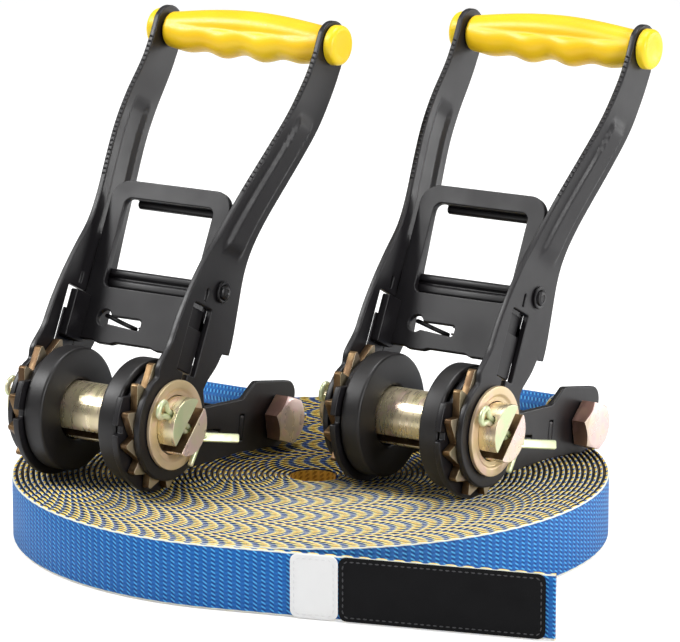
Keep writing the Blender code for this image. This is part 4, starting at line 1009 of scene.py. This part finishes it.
# %% [markdown]
# ## Handle
#
# The long arms are stamped from sheet and have one raised rib, so each is a flat plate with a grid
# of extra points in its faces, pushed outwards by a formula: a smooth step where the arms splay
# apart, and a flat-topped ridge whose width follows the arm.

# %% Arm outline
REACH, DROP = 165 * MM, 27 * MM
GRIP_CENTRE = (REACH, -DROP)
ARM_LOBE, RIB_HEIGHT = mm(22, 1.5)
FRONT_SHARES = (
    (0.115, 0.106), (0.17, 0.086), (0.208, 0.0815), (0.25, 0.076), (0.315, 0.062), (0.39, 0.039),
    (0.46, 0.012), (0.53, -0.006), (0.61, -0.023), (0.71, -0.047), (0.81, -0.076), (0.90, -0.101),
    (0.96, -0.108),
)
REAR_LOW_SHARES = ((0.115, -0.09), (0.17, -0.116), (0.206, -0.127))
REAR_SHARES = (
    (0.21, -0.156), (0.25, -0.154), (0.315, -0.144), (0.39, -0.132), (0.46, -0.13),
    (0.53, -0.138), (0.61, -0.153), (0.71, -0.174), (0.81, -0.198), (0.90, -0.215), (0.96, -0.221),
)


def scaled(shares):
    return [(along * REACH, height * REACH) for along, height in shares]


def arm_outline():
    """Anticlockwise: down the rear edge, round the lobe, up the front edge and round the tip."""
    front = smooth_line([*arc((0, 0), ARM_LOBE, 70, 50, 2), *scaled(FRONT_SHARES)], 6)
    rear_low = smooth_line([*scaled(REAR_LOW_SHARES)[::-1], *arc((0, 0), ARM_LOBE, -50, -70, 2)], 6)
    rear = smooth_line(scaled(REAR_SHARES)[::-1], 6)
    lobe = arc((0, 0), ARM_LOBE, -72, -288, 70)
    tip = arc(GRIP_CENTRE, 9.5 * MM, 78, -82, 30)
    return softened([*lobe, *front, *tip, *rear, *rear_low][::-1], 1.2 * MM)


def edges_at(along):
    """Front and rear height of the arm at a distance along it."""
    found = []
    for line in (scaled(FRONT_SHARES), scaled((*REAR_LOW_SHARES, *REAR_SHARES))):
        height = line[0][1] if along < line[0][0] else line[-1][1]
        for (start, low), (end, high) in zip(line, line[1:]):
            if start <= along <= end:
                height = low + (high - low) * (along - start) / (end - start)
        found.append(height)
    return found


def ease(value, start, end):
    share = min(max((value - start) / (end - start), 0), 1)
    return share * share * (3 - 2 * share)


def arm_lift(along, height):
    """How far the arm's sheet stands outwards at a spot: the splay and the rib."""
    share = along / REACH
    front, rear = edges_at(along)
    width = (height - rear) / max(front - rear, 1 * MM)
    ridge = ease(width, 0.21, 0.29) * (1 - ease(width, 0.69, 0.77))
    ends = ease(share, 0.425, 0.46) * (1 - ease(share, 0.775, 0.81))
    return SPLAY * ease(share, 0.40, 0.84) + RIB_HEIGHT * ridge * ends


# %% Arms
ROW_STEP, COLUMNS, LOBE_END = 1.7 * MM, 26, 19 * MM
notched = mm(
    (20.5, -6.3), (47.8, -6.3), (47.8, 6.3), (20.5, 6.3), (20.5, 1.6), (17, 1.6), (17, -1.6), (20.5, -1.6)
)
rivet_spot = mm(56.2, -9.9)
groove = rounded_box(*mm(49.7, 54.9, -1.0, 0.5, 0.7))
round_holes = [circle(rivet_spot, 3.3 * MM, 32), circle(GRIP_CENTRE, 5.3 * MM, 40)]
holes = [spindle_bore, softened(notched, 0.9 * MM), groove, *round_holes]
grid = []
for row in range(-12, 102):
    along = row * ROW_STEP
    front, rear = edges_at(max(along, LOBE_END))
    for column in range(1, COLUMNS):
        across = rear + (front - rear) * (column + 0.5 * (row % 2)) / COLUMNS
        grid.append((along, across if along > LOBE_END else (column - 13) * ROW_STEP))
outline = arm_outline()
rims = [moved_in(outline, 1.3 * MM)]
rims += [moved_in(loop if area_of(loop) < 0 else loop[::-1], 1.0 * MM) for loop in holes]
grid = [spot for spot in grid if in_metal(rims, spot)]
sheet_metal = plate([outline, *holes], ARM_IN, ARM_OUT, edge=0.45 * MM, extra=grid)
for vert in sheet_metal.vertices:
    vert.co.z += arm_lift(vert.co.x, vert.co.y)
edge_line = [spot for spot in smooth_line(scaled(FRONT_SHARES), 6) if spot[0] > 95 * MM]
mid_sheet = (ARM_IN + ARM_OUT) / 2
path = [(x, y - 0.25 * MM, mid_sheet + arm_lift(x, y)) for x, y in edge_line]
SERRATION = {"Spacing": 2.1 * MM, "Length": 1.3 * MM, "Width": 1.3 * MM, "Height": 2.3 * MM}
serrations = grown("serrations", sewing, SERRATION, powder_coat, path)
arm_near = on_x(together(sheet_metal, serrations))
for word, data in (("near", arm_near), ("far", mirrored(arm_near))):
    on_both(f"long_arm_{word}", data, "handle_body", f"arm_{word}", powder_coat, sharp=40)
print("arm", len(arm_near.polygons), "faces")

# %% Crossbar with its rivet ends
bead = mm(
    (51.3, -9.2), (51.3, -11.7), (59.4, -11.7), (59.4, -8.9), (58.6, -8.1),
    (56.8, -8.1), (56.0, -9.4), (55.4, -9.4), (54.6, -8.5), (52.2, -8.5),
)
bar = on_x(plate([softened(bead, 0.6 * MM)], *mm(-28.7, 28.7), edge=0.2 * MM, hold=0.05 * MM))
rivet = mm(
    (28, 0.01), (28, 3), (31.8, 3), (31.8, 4.2), (32.0, 4.4), (32.5, 4.3), (32.7, 3.9), (32.6, 3.2),
    (32.2, 2.95), (33.3, 2.7), (33.7, 2.2), (33.8, 1.5), (33.5, 1.1), (33.5, 0.01),
)
rivets = [turned([(sign * x, radius) for x, radius in rivet], 40, rivet_spot) for sign in (1, -1)]
crossbar = together(bar, *rivets)
on_both("crossbar_riveted", crossbar, "handle_body", "crossbar", powder_coat)
print("crossbar", len(crossbar.polygons), "faces")

# %% Drive pawl with its finger loop
FACE, BACK, PAWL_SIDE, PAWL_END = mm(-4.6, -7.4, 28.6, 29)
LOOP_CORNER, LOOP_TOP = 8 * MM, 86.8 * MM


def bar_across(box, half_length, edge=0.4 * MM):
    """A bar parallel to X, as long on both sides of the middle, from its outline."""
    return on_x(plate([box], -half_length, half_length, edge=edge))


outside = [(PAWL_SIDE, PAWL_END)]
outside += arc((PAWL_SIDE - LOOP_CORNER, LOOP_TOP), LOOP_CORNER, 0, 90, 14)
outside += arc((LOOP_CORNER - PAWL_SIDE, LOOP_TOP), LOOP_CORNER, 90, 180, 14)
outside.append((-PAWL_SIDE, PAWL_END))
nub = ((-5.5, 29), (-3.5, 28.1), (3.5, 28.1), (5.5, 29))
outside += mm(*((x + dx, y) for x in (-14, 14) for dx, y in nub))
opening = rounded_box(*mm(-21.3, 21.3, 51, 87.6, 3), 8)
keyhole = softened([*arc(mm(-16.5, 38.4), 3.4 * MM, 18, 318, 30), *mm((1.4, 34.9), (1.4, 39.5))], 1.6 * MM)
flat_part = [softened(outside, 1.2 * MM), opening, keyhole]
parts = [plate(flat_part, BACK, FACE, edge=0.4 * MM, hold=0.15 * MM)]
flange = mm((46.5, 5), (46.5, -6), (43.5, -6), (42, -8.5), (29, -8.5), (27.2, -5), (27.2, 5))
ear, cheek = rounded_box(*mm(27.5, 35.7, -4.7, 4.7, 0.8)), rounded_box(*mm(21.3, 38.5, -5.8, 5.8, 0.8))
for sign in (1, -1):
    parts.append(side_plate([softened(flange, 0.9 * MM)], sign, WHEEL_IN, PAWL_SIDE))
    parts.append(side_plate([ear], sign, 27 * MM, 29.2 * MM))
    parts.append(side_plate([cheek], sign, 28.9 * MM, 29.5 * MM, edge=0.2 * MM))
parts.append(bar_across(rounded_box(*mm(87.9, 90.3, -13.9, -6, 0.7)), 18.3 * MM))
parts.append(bar_across(circle(mm(87.2, -11.6), 2.0 * MM, 24), 18.6 * MM, 0.5 * MM))
wire_end = [(-18.6, 40.2, -9.0), (-16, 39.6, -8.7), (-10, 38.0, -8.7), (-5.5, 36.9, -8.9), (-4, 36.6, -10.4)]
parts.append(tube_along(mm(*wire_end), 0.9 * MM))
parts.append(bar_across(rounded_box(*mm(33, 35.2, -14.6, -6, 0.6)), 5 * MM))
on_both("release_loop", together(*parts), "drive_pawl_body", "drive_pawl", powder_coat)
print("finger loop of", len(parts), "shapes")

# %% [markdown]
# ## Springs with Geometry Nodes
#
# A compression spring is a round wire on a helix. The tree takes the helix's radius, length and
# number of curls and the wire's radius, so both springs come from the same tree.

# %% Spring tree
SPRING = {"Radius": 2.8 * MM, "Length": 10 * MM, "Curls": 4.0, "Wire": 0.45 * MM}
coiled, size = group("compression spring", SPRING)
curls = {"Resolution": 28, "Rotations": size["Curls"], "Start Radius": size["Radius"]}
curls.update({"End Radius": size["Radius"], "Height": size["Length"]})
section = {"Resolution": 12, "Radius": size["Wire"]}
wire = node(coiled, "GeometryNodeCurvePrimitiveCircle", section, mode="RADIUS")
swept = {"Curve": node(coiled, "GeometryNodeCurveSpiral", curls), "Profile Curve": wire, "Fill Caps": True}
close_group(coiled, node(coiled, "GeometryNodeCurveToMesh", swept), size["Material"])


def add_spring(name, start, end, height, body, joint, travel, curls):
    """A spring along the frame's Y, from its start to its end, on both ratchets."""
    first, last = start + 0.75 * MM, end - 0.75 * MM
    data = grown(name, coiled, {**SPRING, "Length": last - first, "Curls": curls}, spring_steel)
    fix_faces(data)
    data.transform(Matrix.Translation((0, first, height)) @ Matrix.Rotation(-math.pi / 2, 4, "X"))
    for ratchet, piece in zip(("left", "right"), on_both(name, data, body, name, spring_steel, sharp=60)):
        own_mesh(piece)


add_spring("lock_spring", *mm(44.1, 56, -5.5), "base_body", "lock_pawl_slide", 6 * MM, 4.0)
add_spring("drive_spring", *mm(35.2, 51.3, -11.35), "handle_body", "drive_pawl_pull", 8 * MM, 5.0)

# %% [markdown]
# ## Grip
#
# The grip is one moulding: a crowned back, finger grooves on the side that faces the finger loop,
# and a bore for the tube. Its radius is a function of the place along it and of the turn round it,
# which is the quickest way to a shape like this, because every point has a known place.

# %% Grip, tube and caps
GRIP_HALF, GRIP_SIDES, TUBE_RADIUS, TUBE_BORE = 38.2, 64, 5, 3.6


def grip_radius(share, turn):
    """Crowned above, with finger grooves below, and drawn in at both ends."""
    swell = math.sin(math.pi * share)
    above, below = max(math.cos(turn), 0), max(-math.cos(turn), 0)
    wave = (1 - math.cos(math.tau * 4 * share)) / 2
    radius = 6.8 + 3.4 * swell * above + (3.2 * math.sqrt(max(swell, 0)) - 2.1 * (1 - wave) * swell) * below
    from_end = min(share, 1 - share) * 2 * GRIP_HALF
    return (radius - 1.1 * max(0, 1 - from_end / 1.4) ** 2) * MM


def grip_ring(x, radius_at):
    """A ring of the grip, with its radius as a function of the turn."""
    turns = [math.tau * step / GRIP_SIDES for step in range(GRIP_SIDES)]
    spots = [(radius_at(turn), turn) for turn in turns]
    return [(x * MM, GRIP_CENTRE[0] + r * math.cos(t), GRIP_CENTRE[1] + r * math.sin(t)) for r, t in spots]


near_ends = [distance / (2 * GRIP_HALF) for distance in (0.15, 0.35, 1.0)]
shares = sorted({*(step / 110 for step in range(111)), *near_ends, *(1 - share for share in near_ends)})
rings = [grip_ring(GRIP_HALF * (2 * share - 1), partial(grip_radius, share)) for share in shares]
rings += [grip_ring(x, lambda turn: 5.3 * MM) for x in (GRIP_HALF, -GRIP_HALF)]
on_both("finger_grip", skin(rings, closed_path=True), "handle_body", "grip", grip_yellow, sharp=45)

tube = mm((-43.4, TUBE_BORE), (-43.4, TUBE_RADIUS), (43.4, TUBE_RADIUS), (43.4, TUBE_BORE))
on_both("tube", turned(tube, 48, GRIP_CENTRE), "handle_body", "grip_tube", spring_steel)

turns = [math.pi / 2 * step / 8 for step in range(8, -1, -1)]
rounded_end = [(45.5 - 1.9 * (1 - math.cos(t)), 8 - 1.9 * (1 - math.sin(t))) for t in turns]
cap_line = [(43.7, 0.01), (43.7, 5.3), (41.3, 5.3), (41.3, 7.8), (41.5, 8)]
cap_line += [*rounded_end, (45.5, 4.0), (45.35, 3.4), (45.35, 0.01)]
for sign, word in SIDES:
    cap = turned(mm(*((sign * x, radius) for x, radius in cap_line)), 64, GRIP_CENTRE)
    on_both(f"end_cap_{word}", cap, "handle_body", f"grip_cap_{word}", cap_yellow)
print("grip of", len(rings), "rings")

# %% [markdown]
# ## Drum
#
# Two D-shaped bars make the spindle, with the slot for the webbing between them. Toothed wheels are
# keyed on both bars. Rubber discs keep the webbing in the middle, and large washers with split pins
# hold the whole stack together.

# %% Spindle and wheels
D_CORNER = 1.3 * MM


def half_round(radius, flat, sign):
    """A D: an arc closed by a flat, with both corners rounded."""
    start = math.asin(flat / radius)
    width, first_turn = radius * math.cos(start), math.degrees(start + D_CORNER / radius)
    points = arc((0, 0), radius, first_turn, 180 - first_turn, 24)
    left, right = Vector((D_CORNER - width, flat)), Vector((width - D_CORNER, flat))
    shares = [step / 6 for step in range(1, 6)]
    points += [corner_spot(Vector(points[-1]), Vector((-width, flat)), left, share) for share in shares]
    points += [left, right]
    points += [corner_spot(right, Vector((width, flat)), Vector(points[0]), share) for share in shares]
    return [(sign * y, sign * z) for y, z in points]


PIN_TURN = math.radians(-35) - SLOT_ANGLE
pin_along = Vector((0, math.cos(PIN_TURN), math.sin(PIN_TURN)))
pin_across = Vector((0, -math.sin(PIN_TURN), math.cos(PIN_TURN)))
pin_holes = []
for sign in (-1, 1):
    middle = Vector((sign * PIN_PLACE, 0, 0))
    ends = [middle + pin_along * reach for reach in mm(-18, 18)]
    pin_holes.append(skin([ring_round(end, Vector((1, 0, 0)), pin_across, 2.4 * MM, 32) for end in ends]))
for sign, word in ((1, "upper"), (-1, "lower")):
    d_shape = half_round(11.3 * MM, 2.5 * MM, sign)
    bar = cut(on_x(plate([d_shape], -SPINDLE_END, SPINDLE_END, hold=0.15 * MM)), *pin_holes)
    bars = on_both(f"spindle_bar_{word}", bar, "drum_body", f"spindle_{word}", yellow_zinc)
    into_slot = Vector((0, math.sin(SLOT_ANGLE), -math.cos(SLOT_ANGLE))) * sign
    end_tint = green_zinc if sign > 0 else pink_zinc
    # The flat facing into the webbing slot gets painted shade, a dark brown tint; the end faces get their own
    # green or pink tint
    finishes = [end_tint, zinc_in_painted_shade]
    tint_faces(bars, finishes, lambda face: 1 if abs(face.x) > 0.9 else 2 * (face.dot(into_slot) > 0.9))

TEETH = 13
teeth = []
for tooth in range(TEETH):
    for radius, share in ((20.6 * MM, 0.0), (25.9 * MM, 0.14), (25.9 * MM, 0.26)):
        turn = math.tau / TEETH * (tooth + share)
        teeth.append((radius * math.cos(turn), radius * math.sin(turn)))
wheel_loops = [softened(teeth, 0.5 * MM), *(half_round(BORE, 2.2 * MM, sign) for sign in (1, -1))]
for sign, word in SIDES:
    wheel = side_plate(wheel_loops, sign, WHEEL_IN, WHEEL_OUT, edge=0.2 * MM, hold=0.12 * MM)
    wheels = on_both(f"toothed_wheel_{word}", wheel, "drum_body", f"wheel_{word}", dull_zinc)
    # Tooth flanks and the bore's walls get painted shade, a dark brown tint
    tint_faces(wheels, [zinc_in_painted_shade], lambda normal: abs(normal.x) < 0.6)
print("bar", len(bar.polygons), "faces, wheel", len(wheel.polygons), "faces")

# %% Rubber discs and washers
cup_line = (
    (RUBBER_IN, BORE), (RUBBER_IN, 24.3 * MM), (RUBBER_OUT, 24.3 * MM), (RUBBER_OUT, 21.6 * MM),
    *mm((16.6, 20.4), (16.6, 15.8)), (RUBBER_OUT, 15.2 * MM), (RUBBER_OUT, BORE),
)
dish_line = (
    (WASHER_IN, BORE), (WASHER_IN, 17.5 * MM), (WASHER_OUT, 17.5 * MM), (WASHER_OUT, 14.4 * MM),
    (32.6 * MM, 13.4 * MM), (32.6 * MM, BORE),
)
for sign, word in SIDES:
    for name, node_name, line, radius, finish in (
        ("rubber_cup", "rubber_disc", cup_line, 1.3 * MM, rubber),
        ("washer", "retaining_disc", dish_line, 0.35 * MM, pale_zinc),
    ):
        disc = turned([(sign * x, rise) for x, rise in softened(line, radius, 5)], 120)
        on_both(f"{name}_{word}", disc, "drum_body", f"{node_name}_{word}", finish)

# %% Split pins
def pin_spot(sign, along, across, out=0.0):
    """A spot of a split pin in mm along its legs, across them and outwards from its hole."""
    sideways = Vector((sign * (PIN_PLACE + out * MM), 0, 0))
    return sideways + (pin_along * along + pin_across * across) * MM


for sign, word in SIDES:
    bend, end = pin_spot(sign, 13.5, 1.15), pin_spot(sign, 24, 6.5, 10)
    turns = [math.radians(50 + 32.5 * step) for step in range(9)]
    wire = [(reach, 1.15) for reach in (12.4, 8, 0, -8, -12.4)]
    wire += [(2.1 * math.cos(turn) - 15.9, 3.1 * math.sin(turn)) for turn in turns]
    wire += [(reach, -1.15) for reach in (-12.4, -8, 0, 8, 12.0)]
    wire += [(13.4, -2.0), (13.6, -5.0), (13.5, -10.7)]
    points = [bend.lerp(end, 0.12), *(pin_spot(sign, *spot) for spot in wire)]
    away = (end - bend).normalized()
    tall = (pin_across - away * pin_across.dot(away)).normalized()
    thin = away.cross(tall)
    section = [tall * y * 0.8 + thin * x * 0.5 for x, y in rounded_box(-1.5, 1.5, -2.2, 2.2, 0.7)]
    rungs = ((bend - away * 4 * MM, 0.7), (bend, 1), (end - away * 0.4 * MM, 1), (end, 0.8))
    leg = [[spot + side * grow * MM for side in section] for spot, grow in rungs]
    pin = together(tube_along(points, 1.1 * MM), skin(leg))
    on_both(f"cotter_{word}", pin, "drum_body", f"split_pin_{word}", green_zinc, sharp=60)
print("split pin", len(pin.polygons), "faces")

# %% [markdown]
# ## Labels
#
# The two labels are cut from cloth and sewn on with one row of stitches near their edge.

# %% Sewn rows
def sewn_rows(name, rows, body, finish, slot, place):
    """Rows of stitches as one piece. Each row is a list of flat points, turned into place."""
    lines = [[(a, b, 0) for a, b in row] for row in rows]
    data = together(*(grown(name, sewing, STITCH, finish, line) for line in lines))
    return finished(name, data, body, [], finish, slot, place)


# %% Labels and their stitches
LABEL_LOW, LABEL_HIGH, SEAM_INSET = mm(0.3, 24.7, 1.6)
at_tail = at_coil @ Matrix.Rotation(TAIL_ANGLE, 4, "Z") @ Matrix.Translation((COIL_RADIUS, 0, 0)) @ ON_X
on_label = at_tail @ Matrix.Translation((0, 0, 1.05 * MM))
white = ("white", *mm(29.4, 18.4), white_cloth, white_thread)
black = ("black", *mm(48.1, 78), black_cloth, black_thread)
for colour, start, width, finish, thread in (white, black):
    name, slot = f"{colour}_label", f"{colour}_cloth"
    outline = rounded_box(start, start + width, LABEL_LOW, LABEL_HIGH, 3 * MM, 8)
    cloth = plate([outline], *mm(0.3, 1.0), edge=0.3 * MM)
    piece = finished(f"sewn_{name}", cloth, "coil", [name], finish, slot, at_tail)
    left, right = start + SEAM_INSET, start + width - SEAM_INSET
    row = rounded_box(left, right, LABEL_LOW + SEAM_INSET, LABEL_HIGH - SEAM_INSET, 2 * MM, 4)
    seam = sewn_rows(f"{name}_stitches", [[*row, row[0]]], "coil", thread, slot, on_label)
    print(name, round(width / MM, 1), "mm wide")

# %% [markdown]
# ## Slings
#
# A short length of the same webbing goes round the sleeve on the bolt and is sewn to itself. It is
# a flat band swept along its path, with the distance along the path and the place across it kept
# as its UV map, so the weave follows the bend.

# %% Slings
def strap_band(path, width, thickness):
    """A band with rounded edges, swept along a path in Y and Z. Keeps a UV map in metres."""
    run = [0.0]
    for a, b in zip(path, path[1:]):
        run.append(run[-1] + (Vector(b) - Vector(a)).length)
    section = rounded_box(-width / 2, width / 2, -thickness / 2, thickness / 2, thickness * 0.45, 3)
    rings = []
    for i, spot in enumerate(path):
        ahead = (Vector(path[min(i + 1, len(path) - 1)]) - Vector(path[max(i - 1, 0)])).normalized()
        normal = Vector((-ahead.y, ahead.x))
        rings.append([(x, spot[0] + normal.x * h, spot[1] + normal.y * h) for x, h in section])
    data = skin(rings)
    sheet_map = data.uv_layers.new(name="UVMap")
    across = data.attributes.new("across", "FLOAT", "POINT")
    count = len(section)
    for loop in data.loops:
        ring_at, spot_at = divmod(loop.vertex_index, count)
        sheet_map.data[loop.index].uv = (run[ring_at], section[spot_at][0] + WEB_WIDTH / 2)
    for i in range(len(data.vertices)):
        across.data[i].value = section[i % count][1] / (thickness / 2)
    return data, run[-1]


SLEEVE = Vector((math.cos(BASE_TILT), math.sin(BASE_TILT))) * BOLT[0]
SLING_WIDTH, SLING_THICKNESS, PATH_STEP = mm(24, 1.7, 1.3)
LOW_STRAND, HIGH_STRAND, END_LIFT = mm(-25.8, -24.05, 0.15)
strap_end, sewn_end = SLEEVE.x + 41 * MM, SLEEVE.x + 28 * MM
path = [(strap_end - step * PATH_STEP, LOW_STRAND) for step in range(11)]
join = Vector(path[-1])
round_sleeve = arc(SLEEVE, 9.2 * MM, 280, 68, 60)
path += [tuple(join.lerp(Vector(round_sleeve[0]), ease(s / 12, 0, 1))) for s in range(1, 12)]
path += round_sleeve
top_join = Vector((sewn_end, HIGH_STRAND + END_LIFT))
path += [tuple(Vector(round_sleeve[-1]).lerp(top_join, s / 14)) for s in range(1, 14)]
path += [(sewn_end + step * PATH_STEP, HIGH_STRAND + END_LIFT * (1 - step / 10)) for step in range(11)]
strap, sling_length = strap_band(path, SLING_WIDTH, SLING_THICKNESS)
first_row, last_row = sewn_end + 1.5 * MM, strap_end - 1.5 * MM
rows = [[(x, first_row), (x, last_row)] for x in mm(-9, -4.5, 0, 4.5, 9)]
rows += [[(-10 * MM, y), (10 * MM, y)] for y in (first_row, last_row)]
for ratchet in ("left", "right"):
    name, body, slot = f"{ratchet}_sling", f"{ratchet}_base_body", "blue_webbing"
    place = Matrix.Translation(spindle[ratchet])
    sling = finished(f"{name}_band", strap, body, [name], sling_weave, slot, place, 60)
    on_strap = place @ Matrix.Translation((0, 0, HIGH_STRAND + 0.9 * MM))
    seam = sewn_rows(f"{name}_stitches", rows, body, blue_thread, slot, on_strap)
print("sling", round(sling_length / MM, 1), "mm")
